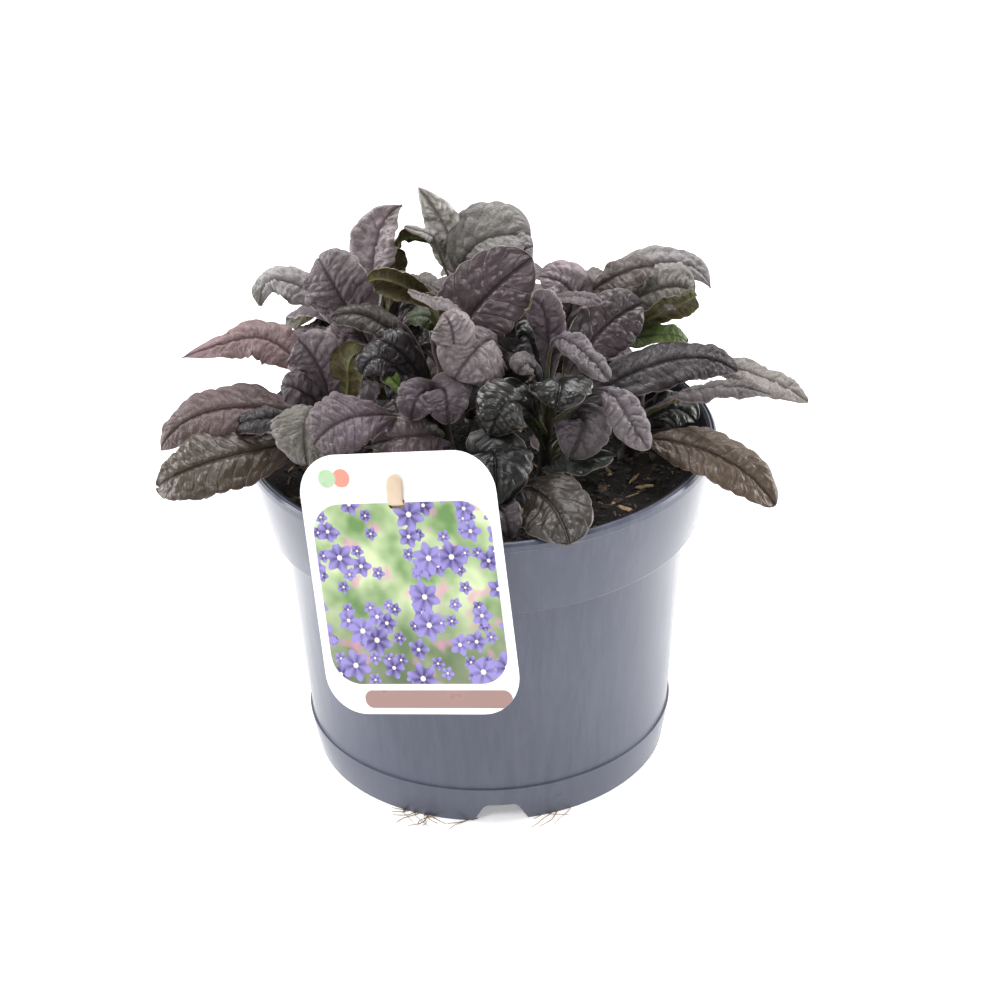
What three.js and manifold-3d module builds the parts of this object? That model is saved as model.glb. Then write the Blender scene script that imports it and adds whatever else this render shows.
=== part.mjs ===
// Potted black scallop bugleweed: a round nursery pot full of dark soil, with eleven leafy crowns that stand
// close together, and a plant label that leans on the rim, held by a stake.
// Millimetres, +Z up. The origin is the middle of the pot's foot, on the surface that it stands on, and -Y is
// the front.
import * as THREE from "three";
import { mergeVertices } from "three/addons/utils/BufferGeometryUtils.js";
import Module from "manifold-3d";

const wasm = await Module();
wasm.setup();

// Driving dimensions of the pot: a 19 cm pot that holds about three litres.
const rimRadius = 95;
const rimInnerRadius = 90.5;
const potHeight = 140;
const bandFoot = 106; // lower edge of the deep rim band
const bandFootRadius = 88.5;
const bandWall = 2.2;
const shoulderRadius = 82.5; // body just under the rim band
const bodyFootRadius = 75.5;
const bodyWall = 1.8;
const skirtTop = 17; // height of the fine step where the skirt starts
const skirtTopRadius = 76.5;
const skirtFootRadius = 73.5;
const footInnerRadius = 70.5; // the foot ring is 3 mm wide
const floorUnderside = 9.5;
const floorTop = 11.5;
const potSides = 48;
// The notches stand evenly round the foot, the first one at this heading in degrees.
const drainNotch = { first: -87.3, count: 4, foot: 22.5, top: 13, height: 8.6 };
const floorHole = { radius: 5, ring: 52, count: 8, sides: 8 };

// Soil
const clearance = 0.3; // gap between pieces that touch
const soilEdge = 127.5; // soil level at the wall
const soilCrown = 128.6; // soil level in the middle
const soilLump = 0.6;
const soilSides = 32;

// Plant
const stemRadius = 3.2;
const stemTopRadius = 2.2;
const stemDepth = 12; // how far a stem stands in the soil
const stemCollar = 4; // a stem leans over from this height above its foot
const stemSides = 8;
const bladeThickness = 0.9;
const largeLeaf = 26; // leaves at least this wide get more faces
const smallLeaf = 12; // and those up to this width get fewer

// Plant label: a card with round corners, turned a little to the left and leaning back.
const card = { width: 80, height: 102, corner: 16, thickness: 0.8 };
const cardCentre = new THREE.Vector3(-28.3, -95.9, 125.1);
const cardYaw = THREE.MathUtils.degToRad(-22.4);
const cardLean = THREE.MathUtils.degToRad(12.7);
const cardTurn = THREE.MathUtils.degToRad(10.9);
const cardHole = { x: -0.5, y: 31.4, width: 8, height: 5 };
const tongueEnd = { x: 0.8, y: 43 };
const stake = { width: 6, thickness: 1.4, footX: -24, footY: -70, footZ: 88, bend: 128 };

// Colours
const slatePlastic = { color: 0x6d717c, roughness: 0.5, metalness: 0 };
const darkSoil = { color: 0x2a211b, roughness: 0.95, metalness: 0 };
const whiteCard = { color: 0xf2f1ec, roughness: 0.35, metalness: 0 };
const beigeStake = { color: 0xe2cfae, roughness: 0.45, metalness: 0 };
const leafColours = [0x4b4145, 0x55484d, 0x3f3a3f, 0x5b5352];

const vec = (p) => new THREE.Vector3(p[0], p[1], p[2]);

// A leaf: where it leaves the stem (0 the foot, 1 the top), the points that its midrib passes, its width, the
// way its upper face looks, and what differs from a usual leaf.
const leaf = (at, via, width, faces, shape = {}) => ({ at, via, width, faces, shape });

// The crowns. foot is where the stem leaves the soil, top is the end of the stem.
const crowns = {
  left: {
    foot: [-50, -12, 126],
    top: [-58, -14, 158],
    leaves: [
      leaf(1.0, [[-77, -6, 182], [-93, -2, 185], [-118, -2, 178]], 18, [-2, -6, 8], {
        stalk: 0.15, curl: 20, peak: 0.3, tip: 0.75,
      }),
      leaf(0.8, [[-101, -22, 164], [-127, -24, 148]], 22, [-1, -6, 8], { stalk: 0.05, peak: 0.4, tip: 0.65 }),
      leaf(0.6, [[-99, -40, 152], [-127, -40, 140]], 28, [-1, -6, 8], { stalk: 0.12, peak: 0.45 }),
      leaf(1.0, [[-62, -22, 181], [-70, -20, 193]], 25, [-3, -8, 5], { stalk: 0.05, peak: 0.45 }),
      leaf(0.9, [[-68, -28, 173], [-77, -28, 177]], 14, [-2, -7, 6], { stalk: 0.1 }),
      leaf(0.7, [[-65, -50, 175], [-66, -60, 158]], 28, [-2, -8, 6]),
      leaf(0.6, [[-78, -30, 163], [-97, -26, 158]], 12, [0, -6, 8]),
      leaf(0.9, [[-51, -24, 172], [-50, -28, 185], [-44, -26, 190]], 15, [4, 8, 2], {
        stalk: 0.15, fold: 4, wave: 0.5,
      }),
      leaf(0.7, [[-53, -8, 180], [-50, -4, 186]], 19, [0, -7, 7]),
    ],
  },
  left_back: {
    foot: [-34, 20, 126],
    top: [-40, 16, 182],
    leaves: [
      leaf(0.6, [[-53, 2, 199], [-62, 10, 214]], 29, [-4, -8, 5], { stalk: 0.1, peak: 0.48 }),
      leaf(0.8, [[-75, 24, 197], [-87, 18, 190]], 16, [-3, -5, 8], { curl: 12, peak: 0.35, tip: 0.9 }),
      leaf(1.0, [[-40, 26, 211], [-29, 30, 227]], 21, [-4, -8, 4], {
        stalk: 0.25, fold: 18, curl: 4, peak: 0.25, tip: 1.2,
      }),
      leaf(0.95, [[-34, 38, 202], [-28, 42, 208], [-16, 46, 206]], 8, [2, 7, 6], { stalk: 0.3 }),
      leaf(0.9, [[-34, 30, 196], [-34, 32, 208]], 11, [-1, 8, 3], { stalk: 0.15, fold: 5, wave: 0.4 }),
      leaf(0.7, [[-33, 27, 181], [-30, 30, 192]], 18, [0, -7, 7]),
      leaf(0.6, [[-26, 24, 171], [-22, 26, 182]], 20, [0, -7, 7]),
    ],
  },
  back: {
    foot: [-4, 34, 126],
    top: [-6, 32, 186],
    leaves: [
      leaf(0.75, [[-28, 2, 204], [-42, -8, 211]], 15, [-1, 9, 3], { stalk: 0.15, fold: 5, wave: 0.4 }),
      leaf(0.9, [[-15, 28, 207], [-18, 26, 215], [-28, 22, 221]], 7, [-2, -5, 8], { stalk: 0.3, wave: 0.4 }),
      leaf(1.0, [[-10, 36, 209], [-22, 32, 233]], 17, [-1, -9, 4], {
        stalk: 0.15, fold: 20, curl: 4, peak: 0.32, tip: 0.8,
      }),
      leaf(1.0, [[0, 26, 210], [22, 20, 216]], 31, [-2, -7, 8], { stalk: 0.12, fold: 15, curl: 8 }),
      leaf(0.7, [[28, 0, 197], [48, -16, 202]], 9, [0, -3, 10], { stalk: 0.4, wave: 0.5 }),
      leaf(0.3, [[-5, 20, 175], [-15, 14, 184]], 18, [0, -7, 7]),
      leaf(0.9, [[13, 20, 205], [23, 16, 213]], 17, [1, -7, 8]),
      leaf(0.8, [[14, 20, 173], [15, 24, 184]], 18, [0, -7, 7]),
    ],
  },
  middle: {
    foot: [-12, -16, 126],
    top: [-16, -20, 170],
    leaves: [
      leaf(0.9, [[-36, -20, 197], [-57, -20, 201]], 13, [-1, -6, 8], { stalk: 0.05, wave: 0.6, peak: 0.5 }),
      leaf(1.0, [[-3, -16, 198], [22, -14, 221]], 32, [0, -8, 6], { stalk: 0.08, fold: 12, curl: 8 }),
      leaf(0.95, [[-4, -28, 200], [-14, -34, 213], [-25, -38, 220]], 9, [0, -1, 10], {
        stalk: 0.15, fold: 4, wave: 0.5,
      }),
      leaf(0.85, [[-9, -40, 197], [-13, -40, 211]], 17, [-1, -8, 5], { stalk: 0.1, tip: 0.7 }),
      leaf(0.7, [[3, -26, 188], [1, -38, 196], [-9, -46, 186]], 29, [0, -8, 6], { stalk: 0.4 }),
      leaf(0.6, [[-13, -46, 181], [-12, -53, 171]], 19, [0, -8, 6], { stalk: 0.1 }),
      leaf(0.6, [[-21, -46, 180], [-26, -52, 173]], 17, [-1, -8, 6], { stalk: 0.15 }),
      leaf(0.5, [[-43, -57, 177], [-63, -63, 168]], 25, [-1, -7, 7], { stalk: 0.3 }),
      leaf(0.4, [[-33, -30, 185], [-45, -34, 183]], 17, [-1, -6, 8]),
      leaf(0.6, [[-28, -26, 186], [-40, -26, 192]], 16, [-1, -6, 8]),
      leaf(0.7, [[-14, -22, 194], [-27, -22, 201]], 10, [0, -5, 9], { stalk: 0.45, wave: 0.4 }),
      leaf(0.9, [[-14, -24, 202], [-22, -24, 210]], 7, [2, 9, 2], { wave: 0.4 }),
      leaf(0.3, [[-31, -32, 177], [-37, -30, 181]], 7, [0, -5, 9], { wave: 0.4 }),
      leaf(0.3, [[-19, -46, 162], [-42, -50, 161]], 22, [-1, -7, 7]),
      leaf(0.2, [[-4, -42, 159], [9, -42, 158]], 17, [0, -5, 9]),
      leaf(0.3, [[-25, -30, 169], [-35, -34, 172]], 18, [0, -7, 7]),
      leaf(0.8, [[-15, -12, 185], [-22, -6, 188]], 18, [0, -7, 7]),
    ],
  },
  right_back: {
    foot: [28, 30, 126],
    top: [30, 28, 176],
    leaves: [
      leaf(0.75, [[38, 18, 190], [25, 14, 201]], 20, [-1, -8, 6], { stalk: 0.15 }),
      leaf(0.9, [[52, 16, 197], [71, 16, 203]], 14, [1, -6, 8]),
      leaf(1.0, [[53, 36, 188], [78, 38, 195], [95, 30, 187]], 19, [1, -5, 8], {
        curl: 20, peak: 0.45, tip: 1,
      }),
      leaf(0.7, [[67, 16, 191], [86, 16, 191]], 19, [0, -8, 6]),
      leaf(0.6, [[71, 12, 184], [87, 8, 194]], 16, [-1, 8, 5], { wave: 0.4 }),
      leaf(0.5, [[65, 10, 175], [84, 8, 173]], 14, [0, -3, 9], { stalk: 0.3 }),
    ],
  },
  right: {
    foot: [58, -4, 126],
    top: [64, -4, 156],
    leaves: [
      leaf(1.0, [[89, 2, 165], [112, 0, 161], [131, -8, 153]], 14, [1, -3, 10], { stalk: 0.3, tip: 0.55 }),
      leaf(0.65, [[87, -33, 172], [113, -38, 171]], 12, [0, -2, 10], { stalk: 0.08, peak: 0.5, tip: 0.7 }),
      leaf(0.3, [[75, 4, 145], [87, 4, 139]], 22, [1, -4, 9], { stalk: 0.1 }),
      leaf(0.3, [[68, -30, 149], [91, -42, 148], [114, -50, 129]], 22, [1, -6, 8], { stalk: 0.25, tip: 0.5 }),
    ],
  },
  right_front: {
    foot: [24, -24, 126],
    top: [27, -27, 166],
    leaves: [
      leaf(0.8, [[20, -42, 187], [15, -50, 189]], 12, [0, -7, 7]),
      leaf(0.6, [[13, -57, 181], [4, -63, 170]], 23, [-1, -8, 6], { stalk: 0.1 }),
      leaf(0.75, [[31, -46, 183], [29, -60, 179]], 24, [0, -6, 8], { stalk: 0.15 }),
      leaf(1.0, [[30, -30, 193], [40, -36, 191], [50, -42, 182]], 12, [1, -5, 8], { stalk: 0.2 }),
      leaf(0.9, [[47, -42, 177], [56, -50, 171], [64, -58, 160]], 15, [2, -7, 6], { stalk: 0.25 }),
      leaf(0.5, [[39, -46, 167], [34, -58, 157]], 22, [0, -8, 6]),
      leaf(0.4, [[20, -40, 168], [19, -44, 178]], 8, [4, -8, 3], { stalk: 0.1, wave: 0.4 }),
      leaf(0.1, [[30, -44, 147], [51, -50, 153]], 15, [0, -3, 9]),
      leaf(0.9, [[46, -10, 185], [65, 0, 194]], 24, [2, -8, 6], { stalk: 0.15 }),
      leaf(0.7, [[71, -13, 174], [102, -12, 169]], 21, [1, -5, 8], { stalk: 0.05, peak: 0.42, tip: 0.6 }),
      leaf(0.9, [[27, -26, 198], [21, -32, 212]], 15, [-2, -9, 3], { stalk: 0.1 }),
      leaf(0.6, [[22, -16, 182], [16, -12, 186]], 16, [0, -7, 7]),
      leaf(0.3, [[47, -18, 162], [59, -16, 162]], 18, [0, -6, 8]),
    ],
  },
  front: {
    foot: [0, -56, 126],
    top: [2, -58, 146],
    leaves: [
      leaf(0.7, [[21, -70, 149], [32, -96, 141]], 28, [0, -7, 7], { stalk: 0.3 }),
      leaf(1.0, [[5, -66, 164], [5, -80, 149]], 29, [1, -8, 6], { stalk: 0.1 }),
      leaf(0.5, [[7, -78, 147], [10, -86, 138]], 13, [0, -8, 6], { stalk: 0.1 }),
    ],
  },
  rear_left: { foot: [-42, 52, 126], top: [-44, 54, 158], leaves: [] },
  rear: { foot: [2, 62, 126], top: [2, 64, 162], leaves: [] },
  rear_right: { foot: [46, 50, 126], top: [48, 52, 158], leaves: [] },
};

// Leaves that follow a rule: a tier of them fans out from a stem between two headings, in degrees from +X.
// heights are the two places on the stem that they leave from in turn, rise and end are how far the middle
// and the tip stand above that, and seed starts the small differences between them.
const tier = (crown, count, headings, heights, form, width, seed) => {
  return { crown, count, headings, heights, form, width, seed };
};
const tiers = [
  tier("rear_left", 4, [95, 148], [0.5, 0.2], { reach: 58, rise: 22, end: 2 }, 24, 11),
  tier("rear_left", 4, [75, 195], [1, 0.7], { reach: 34, rise: 16, end: 14 }, 20, 21),
  tier("rear", 4, [55, 125], [0.5, 0.2], { reach: 58, rise: 20, end: 2 }, 24, 31),
  tier("rear", 4, [20, 160], [1, 0.7], { reach: 32, rise: 16, end: 14 }, 20, 41),
  tier("rear_right", 4, [60, 105], [0.5, 0.2], { reach: 50, rise: 22, end: 2 }, 24, 51),
  tier("rear_right", 4, [8, 120], [1, 0.7], { reach: 34, rise: 16, end: 14 }, 20, 61),
  tier("left", 1, [160, 200], [0.5, 0.3], { reach: 34, rise: 14, end: 8 }, 18, 71),
  tier("right", 1, [60, 75], [0.6, 0.3], { reach: 34, rise: 14, end: 8 }, 18, 81),
  tier("middle", 2, [200, 255], [0.2, 0.1], { reach: 30, rise: 8, end: 2 }, 18, 91),
  tier("right_front", 2, [10, 80], [0.25, 0.1], { reach: 28, rise: 9, end: 3 }, 17, 101),
  tier("back", 3, [215, 310], [0.45, 0.25], { reach: 24, rise: 10, end: 3 }, 16, 111),
  tier("left_back", 2, [225, 285], [0.4, 0.25], { reach: 26, rise: 12, end: 3 }, 16, 121),
  tier("right_back", 2, [-70, -30], [0.4, 0.2], { reach: 28, rise: 12, end: 3 }, 16, 131),
  tier("back", 3, [35, 145], [0.75, 0.5], { reach: 32, rise: 16, end: 12 }, 20, 141),
  tier("left_back", 2, [145, 195], [0.55, 0.3], { reach: 25, rise: 13, end: 8 }, 18, 151),
  tier("right_back", 2, [-10, 120], [0.5, 0.3], { reach: 30, rise: 14, end: 8 }, 19, 161),
  tier("left_back", 2, [35, 110], [0.7, 0.5], { reach: 26, rise: 15, end: 12 }, 18, 171),
  tier("right_back", 1, [-15, 15], [0.4, 0.3], { reach: 38, rise: 12, end: 4 }, 19, 181),
];
const headingSpread = 14;
const reachSpread = 0.2;
const riseSpread = 6;

// A repeatable draw between -0.5 and 0.5.
const draw = (n) => {
  const wide = Math.sin(n * 12.9898) * 43758.5453;
  return wide - Math.floor(wide) - 0.5;
};

// Gives every crown of a tier its leaves.
function growTier({ crown, count, headings, heights, form, width, seed }) {
  const { foot, top, leaves } = crowns[crown];
  const { reach, rise, end } = form;
  for (let i = 0; i < count; i++) {
    const turn = draw(seed + 3 * i);
    const size = draw(seed + 3 * i + 1);
    const lift = draw(seed + 3 * i + 2);
    const share = count > 1 ? i / (count - 1) : 0.5;
    const between = THREE.MathUtils.lerp(headings[0], headings[1], share);
    const heading = THREE.MathUtils.degToRad(between + headingSpread * turn);
    const out = new THREE.Vector3(Math.cos(heading), Math.sin(heading), 0);
    const at = heights[i % 2];
    const start = vec(foot).lerp(vec(top), at);
    const far = reach * (1 + reachSpread * size);
    const middle = start.clone().addScaledVector(out, far / 2).add(vec([0, 0, rise + riseSpread * lift]));
    const tip = start.clone().addScaledVector(out, far).add(vec([0, 0, end + riseSpread * lift]));
    const faces = [-0.35 * out.x, -0.35 * out.y, 1];
    leaves.push(leaf(at, [middle.toArray(), tip.toArray()], width, faces, { stalk: 0.22, wave: 0.8 }));
  }
}
tiers.forEach(growTier);

// A closed geometry as a solid that can be joined and cut.
function solid(geometry) {
  const bare = new THREE.BufferGeometry();
  bare.setAttribute("position", geometry.getAttribute("position"));
  if (geometry.index) bare.setIndex(geometry.index);
  const merged = mergeVertices(bare, 1e-4);
  return new wasm.Manifold(
    new wasm.Mesh({
      numProp: 3,
      vertProperties: merged.attributes.position.array,
      triVerts: new Uint32Array(merged.index.array),
    }),
  );
}

// The largest closed body of a solid, without loose scraps and sealed hollows.
function mainBody(made) {
  return made.decompose().reduce((best, body) => (body.volume() > best.volume() ? body : best));
}

function geometryOf(made) {
  const mesh = made.getMesh();
  const geometry = new THREE.BufferGeometry();
  geometry.setAttribute("position", new THREE.BufferAttribute(mesh.vertProperties, 3));
  geometry.setIndex(new THREE.BufferAttribute(mesh.triVerts, 1));
  const faceted = geometry.toNonIndexed();
  faceted.computeVertexNormals();
  return faceted;
}

const part = new THREE.Group();
function addPiece(name, geometry, look) {
  const piece = new THREE.Mesh(geometry, new THREE.MeshStandardMaterial(look));
  piece.name = name;
  part.add(piece);
}

// A round body from its outline, given as [radius, height] pairs, stood up along +Z.
function turned(outline, sides) {
  const points = outline.map(([r, z]) => new THREE.Vector2(r, z));
  return new THREE.LatheGeometry(points, sides).rotateX(Math.PI / 2);
}

// An upright round plug, for stems and for the holes that they stand in.
function plug(x, y, low, high, lowRadius, highRadius, sides) {
  const geometry = new THREE.CylinderGeometry(highRadius, lowRadius, high - low, sides);
  return geometry.rotateX(Math.PI / 2).translate(x, y, (low + high) / 2);
}

// The pot: one moulded wall with a deep rim band, a step where the skirt starts, a floor with drain holes,
// and notches at the foot that let the water out.
function makePot() {
  const innerFoot = skirtFootRadius - bodyWall;
  const outline = [
    [0, floorTop],
    [innerFoot - 1.5, floorTop],
    [bodyFootRadius - bodyWall, skirtTop],
    [shoulderRadius - bodyWall, bandFoot - 1.5],
    [bandFootRadius - bandWall, bandFoot + 1.5],
    [rimInnerRadius, potHeight - 2],
    [rimInnerRadius + 0.8, potHeight],
    [rimRadius - 0.8, potHeight],
    [rimRadius, potHeight - 1.2],
    [bandFootRadius, bandFoot],
    [shoulderRadius, bandFoot],
    [bodyFootRadius, skirtTop],
    [skirtTopRadius, skirtTop],
    [skirtFootRadius, 0],
    [footInnerRadius, 0],
    [footInnerRadius - 0.8, floorUnderside],
    [0, floorUnderside],
  ].reverse();
  let pot = solid(turned(outline, potSides));
  for (let i = 0; i < drainNotch.count; i++) {
    const heading = THREE.MathUtils.degToRad(drainNotch.first + (360 / drainNotch.count) * i);
    const half = [drainNotch.foot / 2, drainNotch.top / 2];
    const shape = new THREE.Shape([
      new THREE.Vector2(-half[0] - 1, -1),
      new THREE.Vector2(half[0] + 1, -1),
      new THREE.Vector2(half[1], drainNotch.height),
      new THREE.Vector2(-half[1], drainNotch.height),
    ]);
    const cutter = new THREE.ExtrudeGeometry(shape, { depth: 14, bevelEnabled: false });
    cutter.rotateX(Math.PI / 2).translate(0, skirtFootRadius + 5, 0).rotateZ(heading - Math.PI / 2);
    pot = pot.subtract(solid(cutter));
  }
  for (let i = 0; i < floorHole.count; i++) {
    const heading = THREE.MathUtils.degToRad(drainNotch.first + (360 / floorHole.count) * i);
    const x = floorHole.ring * Math.cos(heading);
    const y = floorHole.ring * Math.sin(heading);
    const { radius, sides } = floorHole;
    const drill = plug(x, y, floorUnderside - 1, floorTop + 1, radius, radius, sides);
    pot = pot.subtract(solid(drill));
  }
  return pot;
}

// The soil fills the pot to a finger's width under the rim. Its top is lumpy, and a little higher in the
// middle.
function soilHeight(x, y) {
  const r = Math.hypot(x, y) / rimRadius;
  const lumps = Math.sin(x / 6.1 + 1.3) * Math.cos(y / 5.3) + Math.sin((x + y) / 9.7);
  return soilCrown + (soilEdge - soilCrown) * r * r + (soilLump / 2) * lumps * (r < 0.9 ? 1 : 0);
}

function makeSoil() {
  const bandAtLevel = (soilEdge - bandFoot - 1.5) / (potHeight - bandFoot - 3.5);
  const topRadius = THREE.MathUtils.lerp(bandFootRadius - bandWall, rimInnerRadius, bandAtLevel) - clearance;
  const outline = [
    [0, floorTop],
    [skirtFootRadius - bodyWall - 1.5 - 2 * clearance, floorTop],
    [bodyFootRadius - bodyWall - clearance, skirtTop],
    [shoulderRadius - bodyWall - clearance, bandFoot - 1.5],
    [bandFootRadius - bandWall - 2 * clearance, bandFoot + 1.5],
    [topRadius - 0.1, soilEdge],
    [74, soilEdge],
    [50, soilEdge],
    [0, soilEdge],
  ];
  const geometry = turned(outline, soilSides);
  const position = geometry.getAttribute("position");
  for (let i = 0; i < position.count; i++) {
    const [x, y, z] = [position.getX(i), position.getY(i), position.getZ(i)];
    if (z > soilEdge - 0.01 && Math.hypot(x, y) < topRadius - 1) position.setZ(i, soilHeight(x, y));
  }
  let soil = solid(geometry);
  for (const { foot } of Object.values(crowns)) {
    const bottom = foot[2] - stemDepth - clearance;
    const hole = stemRadius + clearance;
    soil = soil.subtract(solid(plug(foot[0], foot[1], bottom, soilCrown + 4, hole, hole, stemSides)));
  }
  const slot = new THREE.BoxGeometry(stake.width + 2 * clearance, stake.thickness + 2 * clearance, 60);
  slot.translate(stake.footX, stake.footY, stake.footZ - clearance + 30);
  return soil.subtract(solid(slot));
}

// A point on a smooth curve through evenly spaced points, and the way the curve runs there.
function alongMidrib(points, s) {
  const last = points.length - 1;
  const place = new THREE.Vector3();
  const run = new THREE.Vector3();
  points.forEach((point, i) => {
    let weight = 1;
    let slope = 0;
    for (let j = 0; j <= last; j++) {
      if (j === i) continue;
      let product = last / (i - j);
      for (let k = 0; k <= last; k++) if (k !== i && k !== j) product *= (s * last - k) / (i - k);
      slope += product;
      weight *= (s * last - j) / (i - j);
    }
    place.addScaledVector(point, weight);
    run.addScaledVector(point, slope);
  });
  return { place, run: run.normalize() };
}

// Half the width of a blade of width 2 at s along it: a narrow winged stalk, then a spoon-shaped blade that
// is widest at its peak. A higher power at the tip makes the leaf end in a sharper point.
const stalkHalfWidth = 0.13;
const tipHalfWidth = 0.06;
function halfOutline(s, stalk, peak, tip) {
  const u = Math.min(Math.max((s - stalk) / (1 - stalk), 0), 1);
  if (u < peak) return Math.max(Math.sin((Math.PI / 2) * (u / peak)) ** 0.9, stalkHalfWidth);
  return Math.max((1 - ((u - peak) / (1 - peak)) ** 2.2) ** tip, tipHalfWidth);
}

// One leaf: a thin blade folded up a little along its midrib, its margins waved and rolled down. It is built
// on cross lines, the stations, which stand closer together towards the tip, where the outline turns fastest.
const tipCrowding = 1.35;
function makeLeaf(start, { via, width, faces, shape }) {
  const { stalk = 0.2, fold = 10, curl = 16, wave = 1, peak = 0.58, tip = 0.5 } = shape;
  const midrib = [start, ...via.map(vec)];
  const looks = vec(faces).normalize();
  const large = width >= largeLeaf;
  const stations = large ? 8 : width > smallLeaf ? 6 : 5;
  const across = large ? 5 : 3;
  const rise = Math.tan(THREE.MathUtils.degToRad(fold));
  const roll = Math.tan(THREE.MathUtils.degToRad(curl));
  const upper = [];
  const lower = [];
  for (let i = 0; i < stations; i++) {
    const s = 1 - (1 - i / (stations - 1)) ** tipCrowding;
    const { place, run } = alongMidrib(midrib, s);
    const normal = looks.clone().addScaledVector(run, -looks.dot(run)).normalize();
    const side = run.clone().cross(normal);
    const half = (width / 2) * halfOutline(s, stalk, peak, tip);
    const waved = wave * Math.min(Math.max((s - stalk) * 4, 0), 1) * Math.min((1 - s) * 6, 1);
    for (let j = 0; j < across; j++) {
      const t = -1 + (2 * j) / (across - 1);
      const ripple = waved * t * t * Math.sin(s * 22 + (t > 0 ? 0 : 1.7));
      const height = half * (Math.abs(t) * rise - t * t * roll) + ripple;
      const point = place.clone().addScaledVector(side, half * t).addScaledVector(normal, height);
      upper.push(point.clone().addScaledVector(normal, bladeThickness / 2));
      lower.push(point.addScaledVector(normal, -bladeThickness / 2));
    }
  }
  const count = stations * across;
  const faceList = [];
  for (let i = 0; i < stations - 1; i++)
    for (let j = 0; j < across - 1; j++) {
      const a = i * across + j;
      const [b, c, d] = [a + 1, a + across, a + across + 1];
      faceList.push([a, b, d], [a, d, c]);
      faceList.push([count + a, count + d, count + b], [count + a, count + c, count + d]);
    }
  const margin = [];
  for (let j = 0; j < across - 1; j++) margin.push([j, j + 1]);
  for (let i = 0; i < stations - 1; i++) margin.push([(i + 1) * across - 1, (i + 2) * across - 1]);
  const end = (stations - 1) * across;
  for (let j = across - 1; j > 0; j--) margin.push([end + j, end + j - 1]);
  for (let i = stations - 1; i > 0; i--) margin.push([i * across, (i - 1) * across]);
  for (const [p, q] of margin) faceList.push([p, count + p, count + q], [p, count + q, q]);
  const geometry = new THREE.BufferGeometry().setFromPoints([...upper, ...lower]);
  geometry.setIndex(faceList.flat());
  return geometry;
}

// A crown: a short stem that stands in its hole in the soil, with every leaf rooted on its axis.
function makeCrown({ foot, top, leaves }) {
  const axis = vec(top).sub(vec(foot));
  const length = axis.length();
  const stemFoot = foot[2] - stemDepth;
  const collarTop = foot[2] + stemCollar + 1;
  let crown = solid(plug(foot[0], foot[1], stemFoot, collarTop, stemRadius, stemRadius, stemSides));
  const leaning = length + 1.5 - stemCollar;
  const stem = new THREE.CylinderGeometry(stemTopRadius, stemRadius, leaning, stemSides);
  stem.translate(0, stemCollar + leaning / 2, 0);
  const upwards = new THREE.Vector3(0, 1, 0);
  stem.applyQuaternion(new THREE.Quaternion().setFromUnitVectors(upwards, axis.normalize()));
  stem.translate(foot[0], foot[1], foot[2]);
  crown = crown.add(solid(stem));
  for (const one of leaves) {
    const start = vec(foot).lerp(vec(top), one.at);
    crown = crown.add(solid(makeLeaf(start, one)));
  }
  return mainBody(crown);
}

// The label's own axes: a runs across the card, b runs up it, and n is the way its front looks.
const across = new THREE.Vector3(Math.cos(cardYaw), Math.sin(cardYaw), 0);
const cardNormal = new THREE.Vector3(
  Math.sin(cardYaw) * Math.cos(cardLean),
  -Math.cos(cardYaw) * Math.cos(cardLean),
  Math.sin(cardLean),
);
const upward = cardNormal.clone().cross(across).normalize();
const cardA = across.clone().multiplyScalar(Math.cos(cardTurn)).addScaledVector(upward, Math.sin(cardTurn));
const cardB = across.clone().multiplyScalar(-Math.sin(cardTurn)).addScaledVector(upward, Math.cos(cardTurn));
const cardFrame = new THREE.Matrix4().makeBasis(cardA, cardB, cardNormal).setPosition(cardCentre);
const onCard = (x, y, z) => new THREE.Vector3(x, y, z).applyMatrix4(cardFrame);

// A flat outline with round corners.
function roundedOutline(halfWidth, halfHeight, corner, Kind = THREE.Shape, x = 0, y = 0) {
  const outline = new Kind();
  outline.absarc(x + halfWidth - corner, y + halfHeight - corner, corner, 0, Math.PI / 2, false);
  outline.absarc(x - halfWidth + corner, y + halfHeight - corner, corner, Math.PI / 2, Math.PI, false);
  outline.absarc(x - halfWidth + corner, y - halfHeight + corner, corner, Math.PI, 1.5 * Math.PI, false);
  outline.absarc(x + halfWidth - corner, y - halfHeight + corner, corner, 1.5 * Math.PI, 2 * Math.PI, false);
  return outline;
}

function makeLabel() {
  const shape = roundedOutline(card.width / 2, card.height / 2, card.corner);
  shape.holes.push(
    roundedOutline(cardHole.width / 2, cardHole.height / 2, 1.5, THREE.Path, cardHole.x, cardHole.y),
  );
  const geometry = new THREE.ExtrudeGeometry(shape, {
    depth: card.thickness,
    bevelEnabled: false,
    curveSegments: 5,
  });
  return geometry.translate(0, 0, -card.thickness / 2).applyMatrix4(cardFrame);
}

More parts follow.
